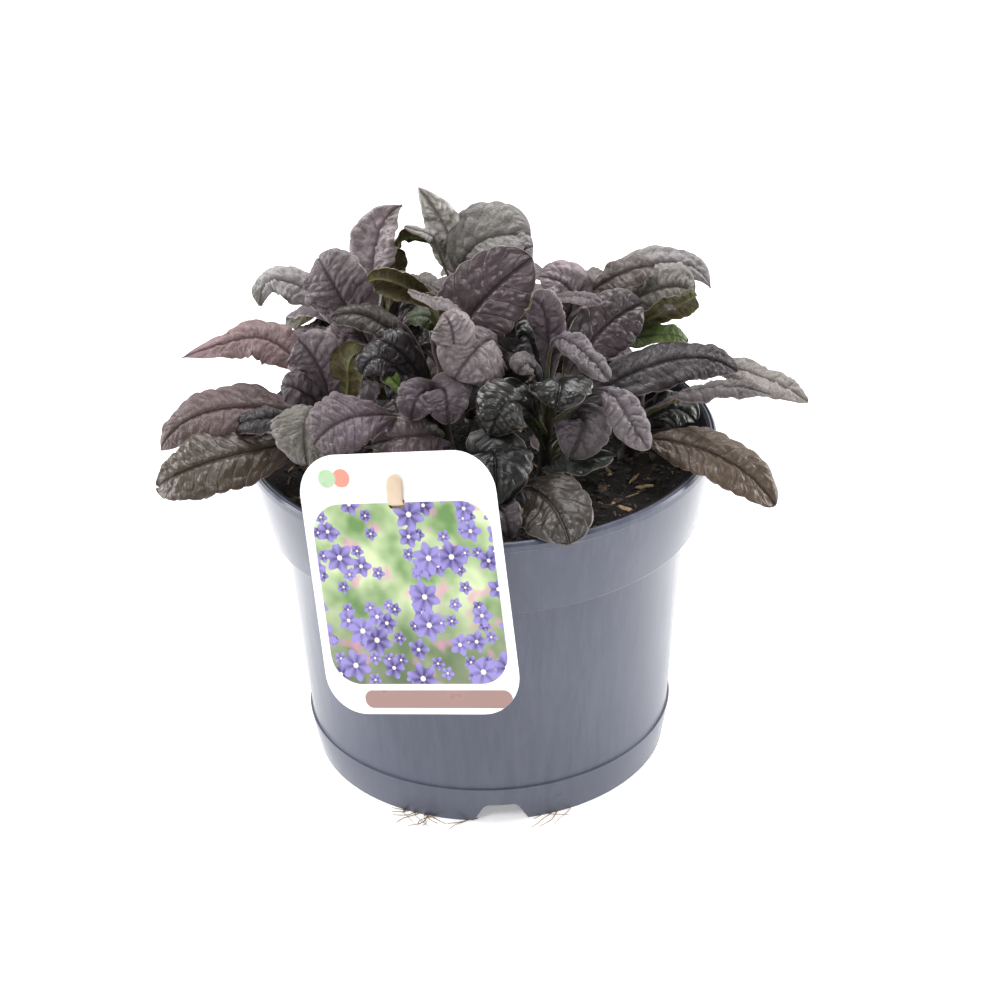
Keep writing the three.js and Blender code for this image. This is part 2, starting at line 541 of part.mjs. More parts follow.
// The stake: a flat strip that stands in the soil inside the rim, bends forward through the label's hole, and
// lies up the label's face.
function makeStake() {
  const face = card.thickness / 2 + stake.thickness / 2 + clearance;
  const route = [
    new THREE.Vector3(stake.footX, stake.footY, stake.footZ),
    new THREE.Vector3(stake.footX, stake.footY, (stake.footZ + stake.bend) / 2),
    new THREE.Vector3(stake.footX, stake.footY, stake.bend),
    new THREE.Vector3(stake.footX, stake.footY, stake.bend + 3),
    onCard(cardHole.x, cardHole.y - 8, -7),
    onCard(cardHole.x, cardHole.y - 0.6, -1.6),
    onCard(cardHole.x, cardHole.y + 0.6, 1.0),
    onCard((cardHole.x + tongueEnd.x) / 2, (cardHole.y + tongueEnd.y) / 2, face + 0.8),
    onCard(tongueEnd.x, tongueEnd.y, face + 0.4),
  ];
  const curve = new THREE.CatmullRomCurve3(route, false, "centripetal");
  const steps = 14;
  const wide = stake.width / 2;
  const thin = stake.thickness / 2;
  const rings = [];
  for (let i = 0; i <= steps; i++) {
    const s = i / steps;
    const place = curve.getPointAt(s);
    const run = curve.getTangentAt(s);
    const turn = THREE.MathUtils.smoothstep(s, 0.5, 0.75);
    const flat = new THREE.Vector3(1, 0, 0).lerp(cardA, turn);
    flat.addScaledVector(run, -flat.dot(run)).normalize();
    const thick = run.clone().cross(flat);
    for (const [u, v] of [[-wide, -thin], [wide, -thin], [wide, thin], [-wide, thin]])
      rings.push(place.clone().addScaledVector(flat, u).addScaledVector(thick, -v));
  }
  const faceList = [];
  for (let i = 0; i < steps; i++)
    for (let j = 0; j < 4; j++) {
      const [a, b] = [4 * i + j, 4 * i + ((j + 1) % 4)];
      faceList.push([a, a + 4, b + 4], [a, b + 4, b]);
    }
  const end = 4 * steps;
  faceList.push([0, 1, 2], [0, 2, 3], [end, end + 2, end + 1], [end, end + 3, end + 2]);
  const geometry = new THREE.BufferGeometry().setFromPoints(rings);
  geometry.setIndex(faceList.flat());
  return geometry;
}

addPiece("pot", geometryOf(makePot()), slatePlastic);
addPiece("soil", geometryOf(makeSoil()), darkSoil);
Object.entries(crowns).forEach(([name, crown], i) => {
  const look = { color: leafColours[i % leafColours.length], roughness: 0.5, metalness: 0 };
  addPiece("crown_" + name, geometryOf(makeCrown(crown)), look);
});
addPiece("plant_label", makeLabel(), whiteCard);
addPiece("label_stake", makeStake(), beigeStake);

export default part;
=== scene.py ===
# Potted black scallop bugleweed: a low mat of dark, puckered, scalloped leaves in a round nursery pot.
# Laid out as an add-on. Metres, +Z up, the origin at the middle of the pot's foot, the front towards -Y.
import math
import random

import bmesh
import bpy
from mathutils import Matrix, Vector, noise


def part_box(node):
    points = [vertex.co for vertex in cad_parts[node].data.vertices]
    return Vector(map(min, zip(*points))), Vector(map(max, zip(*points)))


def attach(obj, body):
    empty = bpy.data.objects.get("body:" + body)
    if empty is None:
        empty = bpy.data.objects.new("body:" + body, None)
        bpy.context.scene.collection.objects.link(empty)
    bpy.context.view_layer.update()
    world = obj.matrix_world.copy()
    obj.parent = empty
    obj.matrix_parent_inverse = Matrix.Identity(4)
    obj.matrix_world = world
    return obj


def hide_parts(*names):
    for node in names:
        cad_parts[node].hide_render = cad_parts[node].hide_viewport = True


bl_info = {
    "name": "Potted bugleweed",
    "version": (1, 0, 0),
    "blender": (4, 5, 0),
    "location": "3D View > Sidebar > Bugleweed",
    "description": "A bugleweed plant in its nursery pot, with its label",
    "category": "Add Mesh",
}

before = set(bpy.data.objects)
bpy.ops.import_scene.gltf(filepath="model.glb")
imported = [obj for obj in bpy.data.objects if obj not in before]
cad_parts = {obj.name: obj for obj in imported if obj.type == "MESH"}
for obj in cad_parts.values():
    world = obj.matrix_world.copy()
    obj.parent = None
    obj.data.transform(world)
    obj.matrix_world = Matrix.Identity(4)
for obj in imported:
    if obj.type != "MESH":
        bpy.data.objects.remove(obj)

MM = 0.001
UP = Vector((0, 0, 1))
_, POT_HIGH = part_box("pot")


def degrees(value):
    return math.radians(value)


def clamp(value, low=0.0, high=1.0):
    return min(max(value, low), high)


def blend(a, b, share):
    return a + (b - a) * share


def draw(n):
    """A repeatable draw between -0.5 and 0.5."""
    wide = math.sin(n * 12.9898) * 43758.5453
    return wide - math.floor(wide) - 0.5


# Sizes and colours that a user would change

def length(name, description, default):
    return bpy.props.FloatProperty(name=name, description=description, default=default, unit="LENGTH", precision=5)


def angle(name, description, default):
    return bpy.props.FloatProperty(name=name, description=description, default=degrees(default), subtype="ANGLE")


def factor(name, description, default):
    return bpy.props.FloatProperty(name=name, description=description, default=default, subtype="FACTOR")


def colour(name, description, default):
    return bpy.props.FloatVectorProperty(
        name=name, description=description, default=default, size=3, min=0, max=1, subtype="COLOR"
    )


class PotSettings(bpy.types.PropertyGroup):
    rim_radius: length("Rim radius", "Outer radius of the rim", POT_HIGH.x)
    height: length("Height", "Height of the pot", POT_HIGH.z)
    lip: length("Lip", "Width of the flat top of the rim", 4.5 * MM)
    band_foot: length("Band foot", "Height of the rim band's lower edge", 106 * MM)
    band_foot_radius: length("Band foot radius", "Outer radius of the band's lower edge", 88.5 * MM)
    band_wall: length("Band wall", "Thickness of the rim band", 2.2 * MM)
    shoulder_radius: length("Shoulder radius", "Outer radius of the body just under the band", 82.5 * MM)
    body_wall: length("Body wall", "Thickness of the body", 1.8 * MM)
    body_foot_radius: length("Body foot radius", "Outer radius of the body above the step", 75.5 * MM)
    skirt_top: length("Skirt top", "Height of the step line", 17 * MM)
    skirt_top_radius: length("Skirt top radius", "Outer radius of the skirt at the step line", 76.5 * MM)
    skirt_foot_radius: length("Skirt foot radius", "Outer radius of the foot ring", 73.5 * MM)
    foot_ring: length("Foot ring", "Width of the foot ring", 3 * MM)
    floor_underside: length("Floor underside", "Height of the floor's lower face", 9.5 * MM)
    floor_top: length("Floor top", "Height of the floor's upper face", 11.5 * MM)
    notch_heading: angle("Notch heading", "Heading of the first drain notch", -87.3)
    notch_foot: length("Notch foot", "Width of a drain notch at the ground", 22.5 * MM)
    notch_top: length("Notch top", "Width of a drain notch at its top", 13 * MM)
    notch_height: length("Notch height", "Height of a drain notch", 8.6 * MM)
    hole_radius: length("Hole radius", "Radius of the drain holes in the floor", 5 * MM)
    hole_ring: length("Hole ring", "Distance of the drain holes from the pot's axis", 52 * MM)
    plastic: colour("Plastic", "Colour of the pot", (0.026, 0.033, 0.066))
    # The scuff colour also serves the painted light that lightens the pot towards its foot.
    scuff_and_underlight: colour("Scuff", "Colour of the pot where it is scuffed", (0.090, 0.098, 0.138))


class SoilSettings(bpy.types.PropertyGroup):
    edge: length("Edge", "Height of the soil at the pot's wall", 127.5 * MM)
    crown: length("Crown", "Height of the soil in the middle", 128.6 * MM)
    lump: length("Lump", "Height of the lumps", 2.6 * MM)
    chips: bpy.props.IntProperty(name="Chips", description="Number of bark chips", default=220)
    crumbs: bpy.props.IntProperty(name="Crumbs", description="Number of crumbs of peat", default=1300)
    peat: colour("Peat", "Colour of the soil", (0.009, 0.008, 0.008))
    bark: colour("Bark", "Colour of the bark chips", (0.44, 0.29, 0.16))


class LeafSettings(bpy.types.PropertyGroup):
    blade: length("Blade", "Thickness of a leaf", 0.55 * MM)
    rib: length("Rib", "How far the midrib stands out below", 0.7 * MM)
    stalk: length("Stalk", "Thickness of a leaf stalk", 2.0 * MM)
    vein_gap: length("Vein gap", "Distance between side veins along the midrib", 6.6 * MM)
    cell: length("Cell", "Length of the puckers between the veins", 5 * MM)
    pucker: length("Pucker", "Height of the puckers", 1.05 * MM)
    net: length("Net", "Size of the meshes of the finest veins", 1.5 * MM)
    scallop: factor("Scallop", "Depth of the scallops as a share of half the width", 0.07)
    ruffle: length("Ruffle", "Height of the small folds at the margin", 0.6 * MM)
    mesh_step: length("Mesh step", "Distance between a leaf's mesh lines", 0.8 * MM)
    edge: colour("Edge", "Colour of the thin line at the margin", (0.30, 0.22, 0.23))
    stalk_green: colour("Stalk green", "Colour of the leaf stalks", (0.062, 0.070, 0.026))
    stem: colour("Stem", "Colour of the crowns' stems", (0.016, 0.015, 0.010))
    under: colour("Underside", "Colour of the leaves' lower face", (0.066, 0.062, 0.022))


class LabelSettings(bpy.types.PropertyGroup):
    width: length("Width", "Width of the card", 80 * MM)
    height: length("Height", "Height of the card", 102 * MM)
    corner: length("Corner", "Radius of the card's corners", 16 * MM)
    thickness: length("Thickness", "Thickness of the card", 0.7 * MM)
    white: colour("White", "Colour of the card", (0.93, 0.92, 0.91))
    rose: colour("Rose", "Colour of the printed band", (0.31, 0.19, 0.17))
    mint: colour("Mint", "Colour of the first small shape", (0.40, 0.56, 0.36))
    coral: colour("Coral", "Colour of the second small shape", (0.76, 0.27, 0.20))
    lilac: colour("Lilac", "Pale colour of the printed blossoms", (0.27, 0.23, 0.54))
    violet: colour("Violet", "Deep colour of the printed blossoms", (0.05, 0.032, 0.16))


class StudioSettings(bpy.types.PropertyGroup):
    lens: bpy.props.FloatProperty(name="Lens", description="Focal length", default=93.6, unit="CAMERA")
    elevation: angle("Elevation", "How far the camera looks down", 28.5616)
    distance: length("Distance", "Distance from the camera to what it looks at", 1067.75 * MM)
    target_x: length("Target X", "Where the camera looks", 6.746 * MM)
    target_z: length("Target Z", "Where the camera looks", 107.968 * MM)
    roll: angle("Roll", "How far the camera leans sideways", -1.6763)
    sky: bpy.props.FloatProperty(name="Sky", description="Light from the white surroundings", default=0.66)
    key: bpy.props.FloatProperty(name="Key", description="Power of the soft light overhead", default=20, unit="POWER")
    floor: colour("Floor", "Colour of the floor", (0.96, 0.96, 0.96))


# Materials

class Shader:
    """One procedural material, built node by node."""

    def __init__(self, name):
        self.material = bpy.data.materials.new(name)
        self.material.use_nodes = True
        self.tree = self.material.node_tree
        self.surface = self.tree.nodes["Principled BSDF"]

    def node(self, kind, inputs=(), **settings):
        made = self.tree.nodes.new("ShaderNode" + kind)
        for key, value in settings.items():
            setattr(made, key, value)
        for key, value in dict(inputs).items():
            self.put(made.inputs[key], value)
        return made

    def put(self, socket, value):
        if isinstance(value, bpy.types.NodeSocket):
            self.tree.links.new(value, socket)
        elif socket.type == "RGBA":
            socket.default_value = (*value, 1)
        else:
            socket.default_value = value

    def set(self, **inputs):
        """Sets or links the surface's own sockets. An underscore in a name stands for a space."""
        for key, value in inputs.items():
            self.put(self.surface.inputs[key.replace("_", " ")], value)

    def math(self, operation, a, b=0.0, c=0.0):
        return self.node("Math", {0: a, 1: b, 2: c}, operation=operation).outputs[0]

    def times(self, a, b):
        return self.math("MULTIPLY", a, b)

    def minus(self, a, b):
        return self.math("SUBTRACT", a, b)

    def vector(self, operation, a, b=(0, 0, 0)):
        made = self.node("VectorMath", {0: a, 1: b}, operation=operation)
        return made.outputs["Value" if operation in ("LENGTH", "DOT_PRODUCT") else "Vector"]

    def mix(self, share, a, b, kind="MIX"):
        made = self.node("Mix", data_type="RGBA", blend_type=kind)
        for index, value in ((0, share), (6, a), (7, b)):
            self.put(made.inputs[index], value)
        return made.outputs[2]

    def noise(self, where, scale, detail=2.0, roughness=0.5):
        made = self.node("TexNoise", {"Vector": where, "Scale": scale, "Detail": detail, "Roughness": roughness})
        return made.outputs[0]

    def spread(self, value, low, high, to_low=0.0, to_high=1.0):
        """Maps low..high to to_low..to_high, with both ends held."""
        made = self.node("MapRange", {0: value, 1: low, 2: high, 3: to_low, 4: to_high})
        return made.outputs[0]

    def attribute(self, name, output="Fac"):
        return self.node("Attribute", attribute_name=name).outputs[output]

    def place(self):
        return self.node("TexCoord").outputs["Object"]

    def bump(self, height, distance, strength=1.0):
        made = self.node("Bump", {"Height": height, "Distance": distance, "Strength": strength})
        self.put(self.surface.inputs["Normal"], made.outputs[0])


def pot_plastic(sizes):
    shader = Shader("pot_plastic")
    place = shader.place()
    cloud = shader.noise(place, 9, 3)
    long = shader.node("Mapping", {"Vector": place, "Scale": (1, 1, 0.12)}).outputs[0]
    streak = shader.noise(long, 260, 4, 0.7)
    grime = shader.spread(shader.noise(place, 70, 5, 0.65), 0.62, 0.72)
    height = shader.node("SeparateXYZ", {0: place}).outputs[2]
    low = shader.spread(height, 0.030, 0.0)
    worn = shader.spread(shader.times(cloud, streak), 0.2, 0.42)
    tint = shader.mix(shader.times(worn, 0.55), sizes.plastic, sizes.scuff_and_underlight)
    soiled = shader.times(shader.times(grime, low), 0.8)
    # Painted light: towards the foot the plastic is blended into the scuff colour, so it is lighter at the bottom as
    # if lit from below.
    painted_underlight = shader.spread(height, sizes.height, 0.0, 0.0, 0.45)
    tint = shader.mix(painted_underlight, tint, sizes.scuff_and_underlight)
    shader.set(Base_Color=shader.mix(soiled, tint, (0.03, 0.022, 0.017)))
    shader.set(Roughness=shader.spread(streak, 0.3, 0.8, 0.36, 0.5), IOR=1.5)
    shader.set(Coat_Weight=0.4, Coat_Roughness=0.22, Coat_IOR=1.5, Sheen_Weight=0.8, Sheen_Roughness=0.2)
    shader.bump(shader.noise(place, 900, 2), 0.00006)
    return shader.material


def pot_inside():
    """The pot's inner wall, darkened as painted shade: two mottled dark tones, dull and with little reflection."""
    shader = Shader("pot_inside")
    place = shader.place()
    # Painted shade: two dark tones, much darker than the plastic, stand in for the shade inside the pot.
    shade_mottle = shader.spread(shader.noise(place, 130, 5, 0.7), 0.35, 0.6)
    tint = shader.mix(shade_mottle, (0.016, 0.018, 0.030), (0.012, 0.009, 0.008))
    shader.set(Base_Color=tint, Roughness=0.7, Specular_IOR_Level=0.15)
    return shader.material


def peat(sizes):
    shader = Shader("peat")
    place = shader.place()
    fine = shader.noise(place, 900, 5, 0.7)
    patch = shader.noise(place, 160, 3)
    damp = shader.mix(shader.spread(patch, 0.35, 0.7), sizes.peat, (0.017, 0.013, 0.012))
    fleck = shader.spread(fine, 0.64, 0.70)
    shader.set(Base_Color=shader.mix(fleck, damp, (0.26, 0.17, 0.10)))
    shader.set(Roughness=shader.spread(fine, 0.3, 0.7, 0.75, 0.98), Specular_IOR_Level=0.2)
    shader.bump(fine, 0.0012)
    return shader.material


def bark():
    shader = Shader("bark")
    place = shader.place()
    grain = shader.noise(place, 700, 4, 0.6)
    tint = shader.attribute("tint", "Color")
    shader.set(Base_Color=shader.mix(shader.spread(grain, 0.35, 0.7), tint, (0.03, 0.02, 0.013)))
    shader.set(Roughness=0.85)
    shader.bump(grain, 0.0006)
    return shader.material


def leaf_skin(sizes):
    """The leaves: purple black above with sunken veins and thin pale margins, olive below, with painted highlights on
    the tops of the puckers, painted shade in their hollows and towards the stalk, and painted shade in the hollows of
    the lower face.
    """
    shader = Shader("leaf_skin")
    place = shader.place()
    along = shader.attribute("along")
    relief = shader.attribute("relief")
    under = shader.attribute("under")
    gloss = shader.attribute("gloss")
    row = shader.attribute("row")
    tint = shader.attribute("tint", "Color")
    flat = shader.attribute("flat", "Vector")
    parts = shader.node("SeparateXYZ", {0: flat}).outputs
    across, rim = shader.math("ABSOLUTE", parts[1]), parts[2]
    mottle = shader.noise(place, 190, 4, 0.6)
    drift = shader.math("MULTIPLY_ADD", shader.noise(place, 45, 2), 0.6, shader.times(mottle, 0.4))
    fine = shader.noise(place, 1500, 3, 0.6)

    # Distances in millimetres from the midrib and the side veins, and the finest net of veins between them.
    midrib = shader.spread(across, 0.15, 0.6)
    off_row = shader.math("ABSOLUTE", shader.minus(shader.math("FRACT", row), 0.5))
    off_vein = shader.times(shader.minus(0.5, off_row), sizes.vein_gap / MM)
    side_vein = shader.spread(off_vein, 0.0, 0.45, 0.6, 1.0)
    wander = shader.node("TexNoise", {"Vector": flat, "Scale": 0.35, "Detail": 2}).outputs["Color"]
    bent = shader.node("VectorMath", {0: wander, 1: (0.9, 0.9, 0.9), 2: flat}, operation="MULTIPLY_ADD").outputs[0]
    cells = shader.node(
        "TexVoronoi", {"Vector": bent, "Scale": MM / sizes.net}, feature="DISTANCE_TO_EDGE", voronoi_dimensions="2D"
    )
    net = shader.spread(cells.outputs["Distance"], 0.0, 0.25)
    veins = shader.times(midrib, side_vein)

    # A darker and a paler copy of each leaf's colour. The darker one gives the veins their colour and is also painted
    # shade; the paler one is a painted highlight.
    deep = shader.mix(1.0, tint, (0.40, 0.36, 0.38), "MULTIPLY")
    pale = shader.mix(1.0, tint, (1.6, 1.6, 1.58), "MULTIPLY")
    # Painted shade and highlight: the hollows between the puckers are darker and their tops paler.
    relief_shaded = shader.mix(shader.spread(relief, 0.0, 0.4, 0.5, 1.0), deep, tint)
    relief_shaded = shader.mix(shader.spread(relief, 0.6, 1.0, 0.0, 0.2), relief_shaded, pale)
    netted = shader.mix(shader.spread(net, 0.0, 1.0, 0.14, 0.0), relief_shaded, deep)
    dusted = shader.mix(1.0, netted, (0.76, 0.80, 0.70), "MULTIPLY")
    patched = shader.mix(shader.spread(drift, 0.4, 0.6), netted, dusted)
    # Painted shade: the blade grows darker towards its stalk.
    shaded = shader.mix(shader.spread(along, 0.05, 0.55, 0.5, 0.0), patched, deep)
    lined = shader.mix(shader.spread(veins, 0.0, 1.0, 0.6, 0.0), shaded, deep)
    edged = shader.mix(shader.spread(rim, 0.1, 0.36, 0.5, 0.0), lined, sizes.edge)

    # Painted shade: the lower face is darker where the puckers leave hollows behind them.
    light = shader.mix(shader.spread(relief, 0.1, 0.7), (0.11, 0.108, 0.036), sizes.under)
    below = shader.mix(shader.spread(veins, 0.0, 1.0, 0.7, 0.0), light, (0.20, 0.22, 0.08))
    blushed = shader.mix(shader.spread(mottle, 0.42, 0.66, 0.0, 0.7), below, (0.075, 0.035, 0.032))
    both = shader.mix(under, edged, blushed)
    stalk = shader.spread(along, 0.0, 0.12, 0.8, 0.0)
    shader.set(Base_Color=shader.mix(stalk, both, sizes.stalk_green))

    waxy = shader.spread(gloss, 0.0, 1.0, 0.52, 0.27)
    broken = shader.math("ADD", waxy, shader.spread(mottle, 0.3, 0.7, -0.04, 0.12))
    shader.set(Roughness=broken, IOR=1.46, Specular_IOR_Level=0.5)
    smooth = shader.spread(gloss, 0.3, 1.0, 1.0, 0.06)
    wrinkle = shader.math("MULTIPLY_ADD", fine, 0.25, shader.times(net, 0.45))
    rough = shader.times(shader.math("ADD", wrinkle, shader.noise(place, 620, 4, 0.65)), smooth)
    shader.bump(shader.math("MULTIPLY_ADD", veins, 0.8, shader.times(rough, 0.38)), 0.0006, 0.8)
    return shader.material


def stem_skin(sizes):
    shader = Shader("stem_skin")
    place = shader.place()
    streak = shader.noise(place, 300, 4, 0.6)
    shader.set(Base_Color=shader.mix(shader.spread(streak, 0.4, 0.62), sizes.stem, (0.018, 0.009, 0.009)))
    shader.set(Roughness=0.5)
    shader.bump(streak, 0.0004)
    return shader.material


def root_skin():
    shader = Shader("root_skin")
    patch = shader.noise(shader.place(), 400, 3)
    shader.set(Base_Color=shader.mix(patch, (0.42, 0.30, 0.17), (0.16, 0.10, 0.06)), Roughness=0.8)
    return shader.material


def rounded_box(shader, x, y, centre, half, corner, softness=0.15):
    """1 inside an upright box with round corners, 0 outside. All sizes are in millimetres on the card."""
    qx = shader.minus(shader.math("ABSOLUTE", shader.minus(x, centre[0])), half[0] - corner)
    qy = shader.minus(shader.math("ABSOLUTE", shader.minus(y, centre[1])), half[1] - corner)
    beyond = shader.node("CombineXYZ", {0: shader.math("MAXIMUM", qx, 0.0), 1: shader.math("MAXIMUM", qy, 0.0)})
    inner = shader.math("MINIMUM", shader.math("MAXIMUM", qx, qy), 0.0)
    away = shader.math("ADD", shader.vector("LENGTH", beyond.outputs[0]), inner)
    return shader.spread(shader.minus(away, corner), softness, -softness)


def blossoms(shader, where, size, petals, phase):
    """Where round printed flowers lie, their random colour share, and their hearts."""
    inputs = {"Vector": where, "Scale": 1 / size, "Randomness": 0.75}
    cells = shader.node("TexVoronoi", inputs, voronoi_dimensions="2D")
    off = shader.vector("SCALE", shader.vector("SUBTRACT", where, cells.outputs["Position"]))
    off.node.inputs["Scale"].default_value = 1 / size
    parts = shader.node("SeparateXYZ", {0: off})
    turn = shader.math("ARCTAN2", parts.outputs[1], parts.outputs[0])
    lobes = shader.math("COSINE", shader.math("MULTIPLY_ADD", turn, petals, phase))
    reach = shader.math("MULTIPLY_ADD", lobes, 0.07, 0.34)
    distance = shader.vector("LENGTH", off)
    flower = shader.spread(shader.minus(reach, distance), -0.012, 0.012)
    heart = shader.spread(distance, 0.075, 0.055)
    chances = shader.node("SeparateColor", {0: cells.outputs["Color"]}).outputs
    shade = chances[0]
    flower = shader.times(flower, shader.math("GREATER_THAN", chances[1], 0.38))
    heart = shader.times(heart, flower)
    rays = shader.math("MULTIPLY_ADD", lobes, 0.25, shader.spread(distance, 0.05, 0.4, 0.1, 0.8))
    return flower, shader.math("ADD", shader.times(shade, 0.55), rays), heart


def printed_card(sizes):
    """A plain white card with a picture of scattered round blossoms over a rose band, in flat printed colours."""
    shader = Shader("printed_card")
    uv = shader.node("UVMap", uv_map="card").outputs[0]
    parts = shader.node("SeparateXYZ", {0: uv})
    x, y = (
        shader.math("MULTIPLY_ADD", parts.outputs[axis], side / MM, side / MM / -2)
        for axis, side in enumerate((sizes.width, sizes.height))
    )
    where = shader.node("CombineXYZ", {0: x, 1: y}).outputs[0]
    front = shader.attribute("front")

    blur = shader.noise(where, 0.06, 2)
    glow = shader.noise(where, 0.11, 1)
    field = shader.mix(shader.spread(blur, 0.35, 0.65), (0.12, 0.24, 0.07), (0.60, 0.70, 0.42))
    field = shader.mix(shader.spread(y, 0.0, -34.0, 0.0, 0.75), field, (0.075, 0.09, 0.05))
    field = shader.mix(shader.spread(glow, 0.58, 0.7, 0.0, 0.6), field, (0.62, 0.22, 0.42))
    for size, petals, phase in ((7.0, 5, 1.0), (11.0, 5, 0.0), (16.0, 6, 2.0)):
        offset = shader.node("Mapping", {"Vector": where, "Location": (size * 3.1, size * 1.7, 0)}).outputs[0]
        flower, shade, heart = blossoms(shader, offset, size, petals, phase)
        petal = shader.mix(shader.spread(shade, 0.2, 1.1), sizes.violet, sizes.lilac)
        petal = shader.mix(heart, petal, (0.86, 0.78, 0.62))
        field = shader.mix(flower, field, petal)

    sheet = shader.mix(rounded_box(shader, x, y, (0, -3.5), (36.5, 35.5), 12), sizes.white, field)
    sheet = shader.mix(rounded_box(shader, x, y, (6, -45), (30.5, 3.6), 3.4), sheet, sizes.rose)
    sheet = shader.mix(rounded_box(shader, x, y, (-22, 42), (3.6, 3.6), 3.5), sheet, sizes.coral)
    sheet = shader.mix(rounded_box(shader, x, y, (-28, 42), (3.6, 3.6), 3.5), sheet, sizes.mint)
    tooth = shader.noise(shader.place(), 90, 2)
    shader.set(Base_Color=shader.mix(front, sizes.white, sheet))
    shader.set(Roughness=shader.spread(tooth, 0.3, 0.7, 0.26, 0.32), IOR=1.5)
    return shader.material


def stake_plastic():
    shader = Shader("stake_plastic")
    cloud = shader.noise(shader.place(), 240, 3)
    shader.set(Base_Color=shader.mix(cloud, (0.54, 0.41, 0.29), (0.62, 0.50, 0.38)), Roughness=0.38, IOR=1.5)
    shader.bump(cloud, 0.0001)
    return shader.material


# Making pieces

def in_scene(name, data):
    made = bpy.data.objects.new(name, data)
    bpy.context.scene.collection.objects.link(made)
    return made


def mesh_object(name, bm, materials=()):
    """Turns a bmesh into an object in the scene."""
    mesh = bpy.data.meshes.new(name)
    bm.to_mesh(mesh)
    bm.free()
    for material in materials:
        mesh.materials.append(material)
    return in_scene(name, mesh)


def finished(name, bm, materials, replaces=()):
    """Turns a bmesh into a piece that rides on the object's body."""
    piece = mesh_object(name, bm, materials)
    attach(piece, "root")
    if replaces:
        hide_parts(*replaces)
    return piece


def cut_out(piece, cutter_bm):
    """Cuts a shape out of a piece with a Boolean modifier, which is then applied."""
    cutter = mesh_object("cutter", cutter_bm)
    mesh = cutter.data
    cut = piece.modifiers.new("cut", "BOOLEAN")
    cut.operation = "DIFFERENCE"
    cut.solver = "EXACT"
    cut.object = cutter
    apply_modifiers(piece)
    bpy.data.objects.remove(cutter)
    bpy.data.meshes.remove(mesh)


def apply_modifiers(piece):
    graph = bpy.context.evaluated_depsgraph_get()
    made = bpy.data.meshes.new_from_object(piece.evaluated_get(graph))
    old = piece.data
    piece.modifiers.clear()
    piece.data = made
    made.name = old.name
    bpy.data.meshes.remove(old)


def smooth_shaded(piece, sharpest=35):
    """Smooth shading with edges kept where faces meet at more than this many degrees."""
    piece.data.polygons.foreach_set("use_smooth", [True] * len(piece.data.polygons))
    piece.data.set_sharp_from_angle(angle=degrees(sharpest))


def verts_in(geom):
    """The vertices among what an operator made."""
    return [item for item in geom if isinstance(item, bmesh.types.BMVert)]


def from_axis(vert):
    return math.hypot(vert.co.x, vert.co.y)


def near_axis(faces, radius):
    """The faces that lie wholly within a radius of the Z axis."""
    return [face for face in faces if all(from_axis(v) < radius for v in face.verts)]


def slab(bm, faces, index, places):
    """Makes a sheet a closed slab: a copy of its faces goes to the places that its vertices number."""
    lifted = verts_in(bmesh.ops.extrude_face_region(bm, geom=faces, use_keep_orig=True)["geom"])
    for vert in lifted:
        vert.co = places[vert[index]]
    return lifted


def rolled(right, upward, roll):
    """Two axes turned in their own plane."""
    return right * math.cos(roll) + upward * math.sin(roll), upward * math.cos(roll) - right * math.sin(roll)


def turned(bm, outline, steps):
    """A round body from its closed outline of (radius, height) pairs, spun about the Z axis."""
    verts = [bm.verts.new((r, 0, z)) for r, z in outline]
    edges = [bm.edges.new((a, b)) for a, b in zip(verts, verts[1:] + verts[:1])]
    bmesh.ops.spin(
        bm, geom=verts + edges, cent=(0, 0, 0), axis=UP, angle=math.tau, steps=steps, use_merge=True
    )
    bmesh.ops.recalc_face_normals(bm, faces=bm.faces)


def soft_corner(before, corner, after, radius, steps=4):
    """The points of a small round in place of a corner of an outline."""
    corner = Vector(corner)
    to_before = (Vector(before) - corner).normalized()
    to_after = (Vector(after) - corner).normalized()
    start, end = corner + to_before * radius, corner + to_after * radius
    points = []
    for i in range(steps + 1):
        s = i / steps
        points.append(tuple(start * (1 - s) ** 2 + corner * 2 * s * (1 - s) + end * s ** 2))
    return points


def softened(outline, radii):
    """An outline with its corners rounded by the given radii."""
    made = []
    for i, radius in enumerate(radii):
        if radius:
            made += soft_corner(outline[i - 1], outline[i], outline[(i + 1) % len(outline)], radius)
        else:
            made.append(outline[i])
    return made


# Pot

